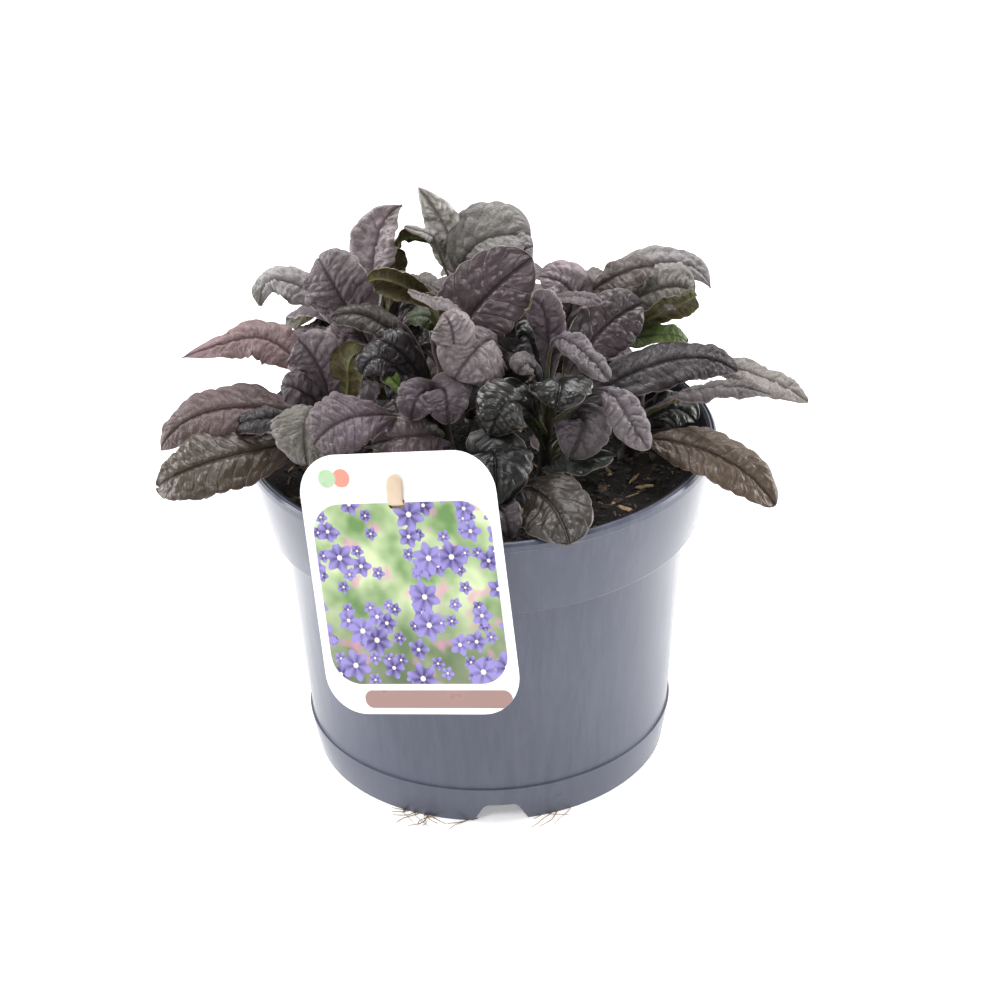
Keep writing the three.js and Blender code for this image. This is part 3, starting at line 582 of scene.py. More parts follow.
def make_pot(sizes):
    band_inner_foot = sizes.band_foot_radius - sizes.band_wall
    rim_inner = sizes.rim_radius - sizes.lip
    bore_radius = 12 * MM  # the spun floor leaves this hole at the axis, which is then filled
    outline = [
        (bore_radius, sizes.floor_top),
        (sizes.skirt_foot_radius - sizes.body_wall - 1.5 * MM, sizes.floor_top),
        (sizes.body_foot_radius - sizes.body_wall, sizes.skirt_top),
        (sizes.shoulder_radius - sizes.body_wall, sizes.band_foot - 1.5 * MM),
        (band_inner_foot, sizes.band_foot + 1.5 * MM),
        (rim_inner, sizes.height - 2 * MM),
        (rim_inner + 0.8 * MM, sizes.height - 0.5 * MM),
        (rim_inner + 2.2 * MM, sizes.height),
        (sizes.rim_radius - 1.6 * MM, sizes.height - 0.4 * MM),
        (sizes.rim_radius - 0.9 * MM, sizes.height),
        (sizes.rim_radius, sizes.height - 0.9 * MM),
        (sizes.rim_radius - 0.1 * MM, sizes.height - 3.2 * MM),
        (sizes.rim_radius - 0.75 * MM, sizes.height - 3.7 * MM),
        (sizes.band_foot_radius, sizes.band_foot),
        (sizes.shoulder_radius, sizes.band_foot),
        (sizes.body_foot_radius, sizes.skirt_top),
        (sizes.skirt_top_radius, sizes.skirt_top),
        (sizes.skirt_foot_radius, 0),
        (sizes.skirt_foot_radius - sizes.foot_ring, 0),
        (sizes.skirt_foot_radius - sizes.foot_ring - 0.8 * MM, sizes.floor_underside),
        (bore_radius, sizes.floor_underside),
    ]
    small, usual = 0.35 * MM, 0.7 * MM
    radii = [0, 0, 0, usual, usual, 0, 0, 0, 0, 0, 0, 0, 0, usual, small, small, small, small, small, 0, 0]
    bm = bmesh.new()
    turned(bm, softened(outline, radii), steps=240)
    within = bore_radius + 0.5 * MM
    bore = [edge for edge in bm.edges if all(from_axis(v) < within for v in edge.verts)]
    bore = [edge for edge in bore if abs(edge.verts[0].co.z - edge.verts[1].co.z) < 1e-6]
    bmesh.ops.delete(bm, geom=near_axis(bm.faces, within), context="FACES_ONLY")
    bmesh.ops.holes_fill(bm, edges=bore, sides=0)
    bmesh.ops.recalc_face_normals(bm, faces=bm.faces)
    # Faces of the inner wall above the floor take the second material, which paints shade on them.
    for face in bm.faces:
        centre = face.calc_center_median()
        inward = face.normal.dot(Vector((centre.x, centre.y, 0)).normalized()) < -0.3
        if inward and centre.z > sizes.floor_top + MM:
            face.material_index = 1
    piece = finished("pot_moulded", bm, [pot_plastic(sizes), pot_inside()], ["pot"])
    cut_out(piece, pot_cutters(sizes))
    smooth_shaded(piece, 30)
    return piece


def pot_cutters(sizes):
    """Four notches with slanted sides through the foot, and eight holes through the floor."""
    cutters = bmesh.new()
    depth = 16 * MM
    notches, holes = 4, 8
    for i in range(notches):
        heading = sizes.notch_heading + math.tau / notches * i
        made = bmesh.ops.create_cube(cutters, size=1)["verts"]
        slope = (sizes.notch_foot - sizes.notch_top) / 2 / sizes.notch_height
        for vert in made:
            high = vert.co.z > 0
            half = sizes.notch_top / 2 if high else sizes.notch_foot / 2 + slope * MM
            vert.co.x = math.copysign(half, vert.co.x)
            vert.co.y = sizes.skirt_foot_radius + vert.co.y * depth
            vert.co.z = sizes.notch_height if high else -MM
        upper = [e for e in cutters.edges if e.verts[0] in made and all(v.co.z > 0 for v in e.verts)]
        upper = [e for e in upper if abs(e.verts[0].co.y - e.verts[1].co.y) > MM]
        rounded = bmesh.ops.bevel(
            cutters, geom=upper, offset=1.6 * MM, affect="EDGES", segments=4, profile=0.5, material=-1
        )
        verts = dict.fromkeys([v for v in made if v.is_valid] + [v for f in rounded["faces"] for v in f.verts])
        turn = Matrix.Rotation(heading - math.pi / 2, 3, "Z")
        bmesh.ops.rotate(cutters, verts=list(verts), cent=(0, 0, 0), matrix=turn)
    for i in range(holes):
        heading = sizes.notch_heading + math.tau / holes * i
        spot = Vector((math.cos(heading), math.sin(heading), 0)) * sizes.hole_ring
        middle = (sizes.floor_underside + sizes.floor_top) / 2
        bmesh.ops.create_cone(
            cutters, cap_ends=True, segments=32, radius1=sizes.hole_radius, radius2=sizes.hole_radius,
            depth=8 * MM, matrix=Matrix.Translation(spot + UP * middle),
        )
    return cutters


# Soil

def soil_height(sizes, x, y):
    r = math.hypot(x, y) / POT_HIGH.x
    base = sizes.crown + (sizes.edge - sizes.crown) * r * r
    spot = Vector((x, y, 0))
    broad = noise.noise(spot * 60) * 0.8
    clods = noise.fractal(spot * 260 + Vector((3, 1, 0)), 1.0, 2.0, 4)
    return base + sizes.lump * (0.4 * broad + 0.5 * clods - 0.25)


def make_soil(sizes, pot):
    gap = 0.3 * MM
    inner_band = pot.rim_radius - pot.lip
    share = (sizes.edge - pot.band_foot) / (pot.height - pot.band_foot)
    wall = blend(pot.band_foot_radius - pot.band_wall, inner_band, share) - 2 * gap
    rings = 90
    top = [(wall * i / rings, sizes.edge) for i in range(1, rings + 1)]
    side = [
        (pot.band_foot_radius - pot.band_wall - 2 * gap, pot.band_foot + 1.5 * MM),
        (pot.shoulder_radius - pot.body_wall - gap, pot.band_foot - 1.5 * MM),
        (pot.body_foot_radius - pot.body_wall - gap, pot.skirt_top),
        (pot.skirt_foot_radius - pot.body_wall - 1.5 * MM - 2 * gap, pot.floor_top + gap / 3),
        (wall / rings, pot.floor_top + gap / 3),
    ]
    bm = bmesh.new()
    turned(bm, top + side, steps=220)
    tube = near_axis(bm.faces, wall / rings * 1.001)
    bmesh.ops.delete(bm, geom=tube, context="FACES_ONLY")
    bmesh.ops.holes_fill(bm, edges=[e for e in bm.edges if e.is_boundary], sides=0)
    for vert in bm.verts:
        if vert.co.z > sizes.edge - 0.01 * MM and from_axis(vert) < wall - 0.5 * MM:
            vert.co.z = soil_height(sizes, vert.co.x, vert.co.y)
    bmesh.ops.recalc_face_normals(bm, faces=bm.faces)
    piece = finished("soil_bed", bm, [peat(sizes)], ["soil"])
    smooth_shaded(piece, 60)
    return piece


# The lighter chips that lie in the open at the front and on the left: (x, y, heading, length) in mm and degrees.
OPEN_CHIPS = [
    (44, -52, 20, 12), (56, -46, -30, 9), (62, -55, 60, 8), (38, -66, 5, 10), (70, -40, 15, 11), (50, -62, 80, 7),
    (64, -30, -10, 9), (30, -72, -40, 8), (58, -66, 35, 9), (76, -28, 70, 8), (46, -40, -60, 7), (-72, -28, 40, 9),
    (-78, -16, 80, 8), (-66, -38, -20, 7),
]


LITTER_RADIUS = 86 * MM


def make_litter(sizes):
    """Bark chips and crumbs of peat that lie on the soil, half sunk in it."""
    rng = random.Random(7)
    bm = bmesh.new()
    tint = bm.verts.layers.float_color.new("tint")
    spots = [(x * MM, y * MM, degrees(h), long * MM, True) for x, y, h, long in OPEN_CHIPS]
    for i in range(sizes.chips + sizes.crumbs):
        chip = i < sizes.chips
        r = LITTER_RADIUS * math.sqrt(rng.random())
        a = rng.uniform(0, math.tau)
        long = rng.uniform(2, 9) * MM if chip else rng.uniform(0.9, 3.5) * MM
        spots.append((r * math.cos(a), r * math.sin(a), rng.uniform(0, math.tau), long, chip))
    for x, y, heading, long, chip in spots:
        made = bmesh.ops.create_icosphere(bm, subdivisions=1, radius=1)["verts"]
        wide = long * (0.08 + 0.45 * rng.random() ** 2 if chip else rng.uniform(0.6, 0.9))
        thick = long * (rng.uniform(0.1, 0.2) if chip else rng.uniform(0.5, 0.8))
        turn = Matrix.Rotation(heading, 3, "Z") @ Matrix.Rotation(rng.uniform(-0.3, 0.3), 3, "Y")
        centre = Vector((x, y, soil_height(sizes, x, y) + thick * 0.15))
        light = rng.uniform(0.08, 1.0) if chip else 0.06 * rng.random() ** 2
        shade = Vector(sizes.peat).lerp(Vector(sizes.bark), light)
        for vert in made:
            jag = 1 + 0.35 * noise.noise(vert.co * 2.3 + centre * 900)
            vert.co = centre + turn @ Vector((vert.co.x * long * jag, vert.co.y * wide * jag, vert.co.z * thick)) / 2
            vert[tint] = (*shade, 1)
    return finished("bark_chips", bm, [bark()])


# Crowns and leaves

# How each kind of leaf looks: its colour above, its gloss, and how strongly it is puckered.
KINDS = {
    "purple": ((0.085, 0.064, 0.077), 0.45, 1.3),
    "darkpurple": ((0.062, 0.040, 0.048), 0.75, 1.0),
    "mauve": ((0.118, 0.074, 0.080), 0.25, 1.3),
    "pink": ((0.215, 0.175, 0.190), 0.3, 1.8),
    "grey": ((0.205, 0.190, 0.190), 0.1, 2.0),
    "greygreen": ((0.155, 0.138, 0.130), 0.3, 1.6),
    "greypink": ((0.118, 0.085, 0.105), 0.25, 1.6),
    "greypurple": ((0.112, 0.088, 0.090), 0.35, 1.5),
    "light": ((0.170, 0.142, 0.165), 0.15, 2.4),
    "olive": ((0.070, 0.060, 0.038), 0.4, 0.7),
    "green": ((0.080, 0.118, 0.032), 0.4, 0.6),
    "dark": ((0.020, 0.015, 0.018), 0.85, 1.0),
    "darkgloss": ((0.012, 0.011, 0.010), 1.0, 1.1),
    "darkgreen": ((0.009, 0.012, 0.009), 0.8, 1.1),
    "brown": ((0.060, 0.041, 0.029), 0.7, 1.2),
    "darkolive": ((0.048, 0.034, 0.028), 0.45, 1.1),
}


class Leaf:
    """One leaf: where it leaves its stem (0 the foot, 1 the top), the points in mm that its midrib passes, its width
    in mm, the way its upper face looks, its kind, and what differs from a usual leaf."""

    def __init__(self, at, via, width, faces, kind, stalk=0.2, fold=10, curl=16, wave=1.0, peak=0.58, tip=0.5,
                 tone=1.0):
        self.at = at
        self.via = [Vector(point) * MM for point in via]
        self.width = width * MM
        self.faces = Vector(faces).normalized()
        self.kind = kind
        self.stalk = stalk
        self.fold = math.tan(degrees(fold))
        self.curl = math.tan(degrees(curl))
        self.wave = wave * MM
        self.peak = peak
        self.tip = tip
        # The tone scales the kind's colour for this leaf: partly its own lightness of colour, partly painted light
        # and shade, with the leaf made lighter or darker for the light or shade that falls on it.
        self.tone = tone


# Foot and top of each crown's stem in mm, and the leaves that are placed one by one.
# The tone of a placed leaf is partly painted light and shade.
CROWNS = {
    "left": ((-50, -12, 126), (-58, -14, 158), [
        Leaf(1.0, [(-77, -6, 182), (-93, -2, 185), (-118, -2, 178)], 18, (-2, -6, 8), "mauve", stalk=0.15, curl=20,
             peak=0.3, tip=0.75, tone=1.85),
        Leaf(0.8, [(-101, -22, 164), (-127, -24, 148)], 22, (-1, -6, 8), "mauve", stalk=0.05, peak=0.4, tip=0.65),
        Leaf(0.6, [(-99, -40, 152), (-127, -40, 140)], 28, (-1, -6, 8), "brown", stalk=0.12, peak=0.45, tone=1.05),
        Leaf(1.0, [(-62, -22, 181), (-70, -20, 193)], 25, (-3, -8, 5), "purple", stalk=0.05, peak=0.45, tone=1.55),
        Leaf(0.9, [(-68, -28, 173), (-77, -28, 177)], 14, (-2, -7, 6), "purple", stalk=0.1),
        Leaf(0.7, [(-65, -50, 175), (-66, -60, 158)], 28, (-2, -8, 6), "greygreen"),
        Leaf(0.6, [(-78, -30, 163), (-97, -26, 158)], 12, (0, -6, 8), "purple", tone=0.25),
        Leaf(0.9, [(-51, -24, 172), (-50, -28, 185), (-44, -26, 190)], 15, (4, 8, 2), "olive", stalk=0.15, fold=4,
             wave=0.5, tone=0.95),
        Leaf(0.7, [(-53, -8, 180), (-50, -4, 186)], 19, (0, -7, 7), "darkpurple", tone=1.4),
    ]),
    "left_back": ((-34, 20, 126), (-40, 16, 182), [
        Leaf(0.6, [(-53, 2, 199), (-62, 10, 214)], 29, (-4, -8, 5), "purple", stalk=0.1, peak=0.48, tone=1.65),
        Leaf(0.8, [(-75, 24, 197), (-87, 18, 190)], 16, (-3, -5, 8), "grey", curl=12, peak=0.35, tip=0.9, tone=1.35),
        Leaf(1.0, [(-40, 26, 211), (-29, 30, 227)], 21, (-4, -8, 4), "pink", stalk=0.25, fold=18, curl=4, peak=0.25,
             tip=1.2, tone=1.35),
        Leaf(0.95, [(-34, 38, 202), (-28, 42, 208), (-16, 46, 206)], 8, (2, 7, 6), "grey", stalk=0.3, tone=1.5),
        Leaf(0.9, [(-34, 30, 196), (-34, 32, 208)], 11, (-1, 8, 3), "olive", stalk=0.15, fold=5, wave=0.4, tone=2.25),
        Leaf(0.7, [(-33, 27, 181), (-30, 30, 192)], 18, (0, -7, 7), "dark"),
        Leaf(0.6, [(-26, 24, 171), (-22, 26, 182)], 20, (0, -7, 7), "dark"),
    ]),
    "back": ((-4, 34, 126), (-6, 32, 186), [
        Leaf(0.75, [(-28, 2, 204), (-42, -8, 211)], 15, (-1, 9, 3), "olive", stalk=0.15, fold=5, wave=0.4, tone=1.5),
        Leaf(0.9, [(-15, 28, 207), (-18, 26, 215), (-28, 22, 221)], 7, (-2, -5, 8), "grey", stalk=0.3, wave=0.4,
             tone=1.5),
        Leaf(1.0, [(-10, 36, 209), (-22, 32, 233)], 17, (-1, -9, 4), "grey", stalk=0.15, fold=20, curl=4, peak=0.32,
             tip=0.8, tone=2.7),
        Leaf(1.0, [(0, 26, 210), (22, 20, 216)], 31, (-2, -7, 8), "grey", stalk=0.12, fold=15, curl=8),
        Leaf(0.7, [(28, 0, 197), (48, -16, 202)], 9, (0, -3, 10), "pink", stalk=0.4, wave=0.5, tone=0.45),
        Leaf(0.3, [(-5, 20, 175), (-15, 14, 184)], 18, (0, -7, 7), "dark"),
        Leaf(0.9, [(13, 20, 205), (23, 16, 213)], 17, (1, -7, 8), "grey"),
        Leaf(0.8, [(14, 20, 173), (15, 24, 184)], 18, (0, -7, 7), "dark", tone=2.8),
    ]),
    "middle": ((-12, -16, 126), (-16, -20, 170), [
        Leaf(0.9, [(-36, -20, 197), (-57, -20, 201)], 13, (-1, -6, 8), "darkolive", stalk=0.05, wave=0.6, peak=0.5,
             tone=0.6),
        Leaf(1.0, [(-3, -16, 198), (22, -14, 221)], 32, (0, -8, 6), "darkpurple", stalk=0.08, fold=12, curl=8,
             tone=1.1),
        Leaf(0.95, [(-4, -28, 200), (-14, -34, 213), (-25, -38, 220)], 9, (0, -1, 10), "pink", stalk=0.15, fold=4,
             wave=0.5, tone=0.7),
        Leaf(0.85, [(-9, -40, 197), (-13, -40, 211)], 17, (-1, -8, 5), "pink", stalk=0.1, tip=0.7, tone=1.1),
        Leaf(0.7, [(3, -26, 188), (1, -38, 196), (-9, -46, 186)], 29, (0, -8, 6), "pink", stalk=0.4, tone=0.9),
        Leaf(0.6, [(-13, -46, 181), (-12, -53, 171)], 19, (0, -8, 6), "purple", stalk=0.1),
        Leaf(0.6, [(-21, -46, 180), (-26, -52, 173)], 17, (-1, -8, 6), "purple", stalk=0.15, tone=1.05),
        Leaf(0.5, [(-43, -57, 177), (-63, -63, 168)], 25, (-1, -7, 7), "greypink", stalk=0.3, tone=1.05),
        Leaf(0.4, [(-33, -30, 185), (-45, -34, 183)], 17, (-1, -6, 8), "dark", tone=1.5),
        Leaf(0.6, [(-28, -26, 186), (-40, -26, 192)], 16, (-1, -6, 8), "dark", tone=1.1),
        Leaf(0.7, [(-14, -22, 194), (-27, -22, 201)], 10, (0, -5, 9), "green", stalk=0.45, wave=0.4, tone=0.35),
        Leaf(0.9, [(-14, -24, 202), (-22, -24, 210)], 7, (2, 9, 2), "green", wave=0.4),
        Leaf(0.3, [(-31, -32, 177), (-37, -30, 181)], 7, (0, -5, 9), "green", wave=0.4, tone=2.15),
        Leaf(0.3, [(-19, -46, 162), (-42, -50, 161)], 22, (-1, -7, 7), "darkpurple", tone=1.65),
        Leaf(0.2, [(-4, -42, 159), (9, -42, 158)], 17, (0, -5, 9), "darkgreen"),
        Leaf(0.3, [(-25, -30, 169), (-35, -34, 172)], 18, (0, -7, 7), "dark"),
        Leaf(0.8, [(-15, -12, 185), (-22, -6, 188)], 18, (0, -7, 7), "dark"),
    ]),
    "right_back": ((28, 30, 126), (30, 28, 176), [
        Leaf(0.75, [(38, 18, 190), (25, 14, 201)], 20, (-1, -8, 6), "pink", stalk=0.15, tone=1.2),
        Leaf(0.9, [(52, 16, 197), (71, 16, 203)], 14, (1, -6, 8), "greypurple", tone=0.95),
        Leaf(1.0, [(53, 36, 188), (78, 38, 195), (95, 30, 187)], 19, (1, -5, 8), "grey", curl=20, peak=0.45, tip=1,
             tone=1.05),
        Leaf(0.7, [(67, 16, 191), (86, 16, 191)], 19, (0, -8, 6), "greygreen", tone=1.15),
        Leaf(0.6, [(71, 12, 184), (87, 8, 194)], 16, (-1, 8, 5), "olive", wave=0.4, tone=0.45),
        Leaf(0.5, [(65, 10, 175), (84, 8, 173)], 14, (0, -3, 9), "green", stalk=0.3, tone=1.15),
    ]),
    "right": ((58, -4, 126), (64, -4, 156), [
        Leaf(1.0, [(89, 2, 165), (112, 0, 161), (131, -8, 153)], 14, (1, -3, 10), "greygreen", stalk=0.3, tip=0.55,
             tone=1.45),
        Leaf(0.65, [(87, -33, 172), (113, -38, 171)], 12, (0, -2, 10), "pink", stalk=0.08, peak=0.5, tip=0.7,
             tone=0.5),
        Leaf(0.3, [(75, 4, 145), (87, 4, 139)], 22, (1, -4, 9), "darkgreen", stalk=0.1, tone=1.05),
        Leaf(0.3, [(68, -30, 149), (91, -42, 148), (114, -50, 129)], 22, (1, -6, 8), "brown", stalk=0.25, tip=0.5,
             tone=1.6),
    ]),
    "right_front": ((24, -24, 126), (27, -27, 166), [
        Leaf(0.8, [(20, -42, 187), (15, -50, 189)], 12, (0, -7, 7), "pink", tone=0.35),
        Leaf(0.6, [(13, -57, 181), (4, -63, 170)], 23, (-1, -8, 6), "darkgloss", stalk=0.1),
        Leaf(0.75, [(31, -46, 183), (29, -60, 179)], 24, (0, -6, 8), "darkgloss", stalk=0.15, tone=0.6),
        Leaf(1.0, [(30, -30, 193), (40, -36, 191), (50, -42, 182)], 12, (1, -5, 8), "light", stalk=0.2, tone=0.95),
        Leaf(0.9, [(47, -42, 177), (56, -50, 171), (64, -58, 160)], 15, (2, -7, 6), "light", stalk=0.25, tone=1.2),
        Leaf(0.5, [(39, -46, 167), (34, -58, 157)], 22, (0, -8, 6), "purple", tone=0.75),
        Leaf(0.4, [(20, -40, 168), (19, -44, 178)], 8, (4, -8, 3), "green", stalk=0.1, wave=0.4, tone=0.3),
        Leaf(0.1, [(30, -44, 147), (51, -50, 153)], 15, (0, -3, 9), "darkgreen", tone=2.4),
        Leaf(0.9, [(46, -10, 185), (65, 0, 194)], 24, (2, -8, 6), "darkpurple", stalk=0.15, tone=0.75),
        Leaf(0.7, [(71, -13, 174), (102, -12, 169)], 21, (1, -5, 8), "purple", stalk=0.05, peak=0.42, tip=0.6,
             tone=0.35),
        Leaf(0.9, [(27, -26, 198), (21, -32, 212)], 15, (-2, -9, 3), "purple", stalk=0.1, tone=1.3),
        Leaf(0.6, [(22, -16, 182), (16, -12, 186)], 16, (0, -7, 7), "dark", tone=0.35),
        Leaf(0.3, [(47, -18, 162), (59, -16, 162)], 18, (0, -6, 8), "darkgreen"),
    ]),
    "front": ((0, -56, 126), (2, -58, 146), [
        Leaf(0.7, [(21, -70, 149), (32, -96, 141)], 28, (0, -7, 7), "brown", stalk=0.3, tone=0.4),
        Leaf(1.0, [(5, -66, 164), (5, -80, 149)], 29, (1, -8, 6), "darkgreen", stalk=0.1, tone=0.3),
        Leaf(0.5, [(7, -78, 147), (10, -86, 138)], 13, (0, -8, 6), "dark", stalk=0.1, tone=2.45),
    ]),
    "rear_left": ((-42, 52, 126), (-44, 54, 158), []),
    "rear": ((2, 62, 126), (2, 64, 162), []),
    "rear_right": ((46, 50, 126), (48, 52, 158), []),
}

# Leaves that follow a rule: crown, first and last heading in degrees, count, lowest and highest place on the stem,
# reach, rise of the middle and of the tip, width in mm, and the seed of their small differences.
TIERS = [
    ("rear_left", 95, 148, 4, 0.2, 0.5, 58, 22, 2, 24, 11),
    ("rear_left", 75, 195, 4, 0.7, 1, 34, 16, 14, 20, 21),
    ("rear", 55, 125, 4, 0.2, 0.5, 58, 20, 2, 24, 31),
    ("rear", 20, 160, 4, 0.7, 1, 32, 16, 14, 20, 41),
    ("rear_right", 60, 105, 4, 0.2, 0.5, 50, 22, 2, 24, 51),
    ("rear_right", 8, 120, 4, 0.7, 1, 34, 16, 14, 20, 61),
    ("left", 160, 200, 1, 0.3, 0.5, 34, 14, 8, 18, 71),
    ("right", 60, 75, 1, 0.3, 0.6, 34, 14, 8, 18, 81),
    ("middle", 200, 255, 2, 0.1, 0.2, 30, 8, 2, 18, 91),
    ("right_front", 10, 80, 2, 0.1, 0.25, 28, 9, 3, 17, 101),
    ("back", 215, 310, 3, 0.25, 0.45, 24, 10, 3, 16, 111),
    ("left_back", 225, 285, 2, 0.25, 0.4, 26, 12, 3, 16, 121),
    ("right_back", -70, -30, 2, 0.2, 0.4, 28, 12, 3, 16, 131),
    ("back", 35, 145, 3, 0.5, 0.75, 32, 16, 12, 20, 141),
    ("left_back", 145, 195, 2, 0.3, 0.55, 25, 13, 8, 18, 151),
    ("right_back", -10, 120, 2, 0.3, 0.5, 30, 14, 8, 19, 161),
    ("left_back", 35, 110, 2, 0.5, 0.7, 26, 15, 12, 18, 171),
    ("right_back", -15, 15, 1, 0.3, 0.4, 38, 12, 4, 19, 181),
]
TIER_KINDS = ("dark", "purple", "darkpurple", "greypurple")


def tier_leaves(crown):
    """The leaves of a crown that fan out from its stem by rule."""
    foot, top, _ = CROWNS[crown]
    made = []
    for name, first, last, count, low, high, reach, rise, end, width, seed in TIERS:
        if name != crown:
            continue
        for i in range(count):
            share = i / (count - 1) if count > 1 else 0.5
            turn, size, lift = (draw(seed + 3 * i + k) for k in range(3))
            heading = degrees(first + (last - first) * share + 14 * turn)
            out = Vector((math.cos(heading), math.sin(heading), 0))
            at = low if i % 2 else high
            start = Vector(foot).lerp(Vector(top), at)
            far = reach * (1 + 0.2 * size)
            middle = start + out * far / 2 + UP * (rise + 6 * lift)
            tip = start + out * far + UP * (end + 6 * lift)
            kind = TIER_KINDS[(seed + i) % len(TIER_KINDS)]
            tone = 1 + 0.24 * draw(1.7 * (seed + i))
            made.append(Leaf(at, [middle, tip], width, UP - 0.35 * out, kind, 0.22, wave=0.8, tone=tone))
    return made


def along_midrib(points, s):
    """A point on the smooth curve through evenly spaced points, and the way the curve runs there."""
    last = len(points) - 1
    place, run = Vector((0, 0, 0)), Vector((0, 0, 0))
    for i, point in enumerate(points):
        weight, slope = 1.0, 0.0
        for j in range(last + 1):
            if j == i:
                continue
            product = last / (i - j)
            for k in range(last + 1):
                if k not in (i, j):
                    product *= (s * last - k) / (i - k)
            slope += product
            weight *= (s * last - j) / (i - j)
        place += point * weight
        run += point * slope
    return place, run.normalized()


# Without a seed of its own, the noise that bends the puckers differs from run to run.
NOISE_SEED = 5
MOST_LEAVES = 40
STALK_HALF_WIDTH = 0.13
TIP_HALF_WIDTH = 0.05
# The groove over a leaf's midrib, its broad swells in mm, and the steps of the scallops and small folds.
GROOVE_WIDTH, GROOVE_DEPTH = 0.9 * MM, 0.5 * MM
BROAD_SWELL = 2.4
SCALLOP_STEP, FOLD_STEP = 2.6 * MM, 5 * MM


def half_outline(s, leaf):
    """Half the width of a blade of width 2 at s along it: a narrow winged stalk, then a spoon-shaped blade."""
    u = clamp((s - leaf.stalk) / (1 - leaf.stalk))
    if u < leaf.peak:
        return max(math.sin(math.pi / 2 * u / leaf.peak) ** 0.9, STALK_HALF_WIDTH)
    return max((1 - ((u - leaf.peak) / (1 - leaf.peak)) ** 2.2) ** leaf.tip, TIP_HALF_WIDTH)


def pillow(share):
    """A rounded swelling across one cell, 0 at its edges and 1 in the middle."""
    return 1 - abs(2 * (share - math.floor(share)) - 1) ** 2.6


def vein_row(leaf, sizes, u, t, length, seed):
    """Counts the side veins along the blade. It is whole on a vein, and the veins lean towards the tip."""
    lean = 0.62 * abs(t) * leaf.width / 2 / sizes.vein_gap
    warp = noise.noise(Vector((u * 4, t * 3, seed)))
    return u * length / sizes.vein_gap - lean + (0.4 if t > 0 else 0.0) + 0.3 * warp


def puckers(leaf, sizes, u, t, row, seed):
    """How far the blade swells up between its veins, from 0 to 1: uneven cells that lie along the side veins."""
    away = abs(t)
    spot = Vector((row * 2.2, away * leaf.width / 2 / sizes.cell, seed * 5.3 + (7 if t > 0 else 0)))
    spot += 0.3 * noise.noise_vector(spot * 1.3)
    near = noise.voronoi(Vector((spot.x, spot.y, seed)))[0]
    cell = 1 - (1 - clamp((near[1] - near[0]) * 1.7)) ** 2
    swell = (0.1 + 0.9 * cell) * (0.45 + 0.55 * pillow(row))
    return swell * clamp(u * 5) * clamp((1 - u) * 6) * clamp((1 - away) * 5) * clamp(away * 12)


def add_leaf(bm, layers, leaf, start, sizes, seed):
    """Adds one closed leaf: a grid laid along the midrib for its lower face, and a copy above it for the upper."""
    midrib = [start, *leaf.via]
    stations = [along_midrib(midrib, i / 12)[0] for i in range(13)]
    length = sum((b - a).length for a, b in zip(stations, stations[1:]))
    rows = max(14, round(length / sizes.mesh_step))
    columns = max(8, 2 * round(leaf.width / sizes.mesh_step / 2))
    blade_length = length * (1 - leaf.stalk)
    tint, gloss, pucker = KINDS[leaf.kind]
    # Painted light and shade: the tone lightens or darkens the leaf's colour, partly for the light that falls on it.
    tint = [channel * leaf.tone for channel in tint]

    grid = bmesh.ops.create_grid(bm, x_segments=columns, y_segments=rows, size=1)["verts"]
    lower_faces = list(dict.fromkeys(face for vert in grid for face in vert.link_faces))
    uppers = []
    spines = {}
    for vert in grid:
        t, s = vert.co.x, 1 - (0.5 - vert.co.y / 2) ** 1.2
        key = round(s * 10000)
        if key not in spines:
            place, run = along_midrib(midrib, s)
            normal = (leaf.faces - run * leaf.faces.dot(run)).normalized()
            u = clamp((s - leaf.stalk) / (1 - leaf.stalk))
            spines[key] = (place, normal, run.cross(normal), half_outline(s, leaf) * leaf.width / 2, u)
        place, normal, side, half, u = spines[key]
        away = abs(t)
        row = vein_row(leaf, sizes, u, t, blade_length, seed)
        swell = puckers(leaf, sizes, u, t, row, seed)
        edge = pillow(row) + 0.25 * noise.noise(Vector((u * blade_length / SCALLOP_STEP, t * 2, seed)))
        reach = half * (1 + sizes.scallop * (edge - 0.7) * clamp(u * 8) * away ** 3)
        ripple = leaf.wave * clamp((s - leaf.stalk) * 4) * min((1 - s) * 6, 1) * t * t
        ripple *= math.sin(s * 22 + (0 if t > 0 else 1.7))
        broad = noise.noise(Vector((u * 2.2, t * 1.4, seed * 3.1))) * BROAD_SWELL * MM * clamp(u * 4) * away
        folds = noise.noise(Vector((u * blade_length / FOLD_STEP, t * 1.1, seed * 2.3))) * sizes.ruffle
        height = half * (away * leaf.fold - t * t * leaf.curl) + ripple + broad
        height += 2 * folds * away ** 3 * clamp(u * 4) * clamp(half / (5 * MM))
        height += sizes.pucker * pucker * swell * clamp(half / (6 * MM))
        groove = math.exp(-((t * half / GROOVE_WIDTH) ** 2))
        height -= GROOVE_DEPTH * groove * clamp(u * 6)
        centre = place + side * (reach * t) + normal * height
        fleshy = (1 - clamp(u * 3.5)) * (1 - t * t)
        thick = sizes.blade * (1 - 0.55 * away ** 6) + (sizes.stalk - sizes.blade) * fleshy
        below = thick / 2 + sizes.rib * groove * clamp(1.15 - u)
        uppers.append(centre + normal * thick / 2)
        vert.co = centre - normal * below
        vert[layers["index"]] = len(uppers) - 1
        vert[layers["along"]] = u
        vert[layers["row"]] = row + 100
        vert[layers["flat"]] = (s * length / MM + 37 * seed, t * half / MM, (1 - away) * half / MM)
        vert[layers["relief"]] = swell
        vert[layers["under"]] = 1
        vert[layers["gloss"]] = gloss
        vert[layers["tint"]] = (*tint, 1)
    for vert in slab(bm, lower_faces, layers["index"], uppers):
        vert[layers["under"]] = 0
    bmesh.ops.reverse_faces(bm, faces=lower_faces)


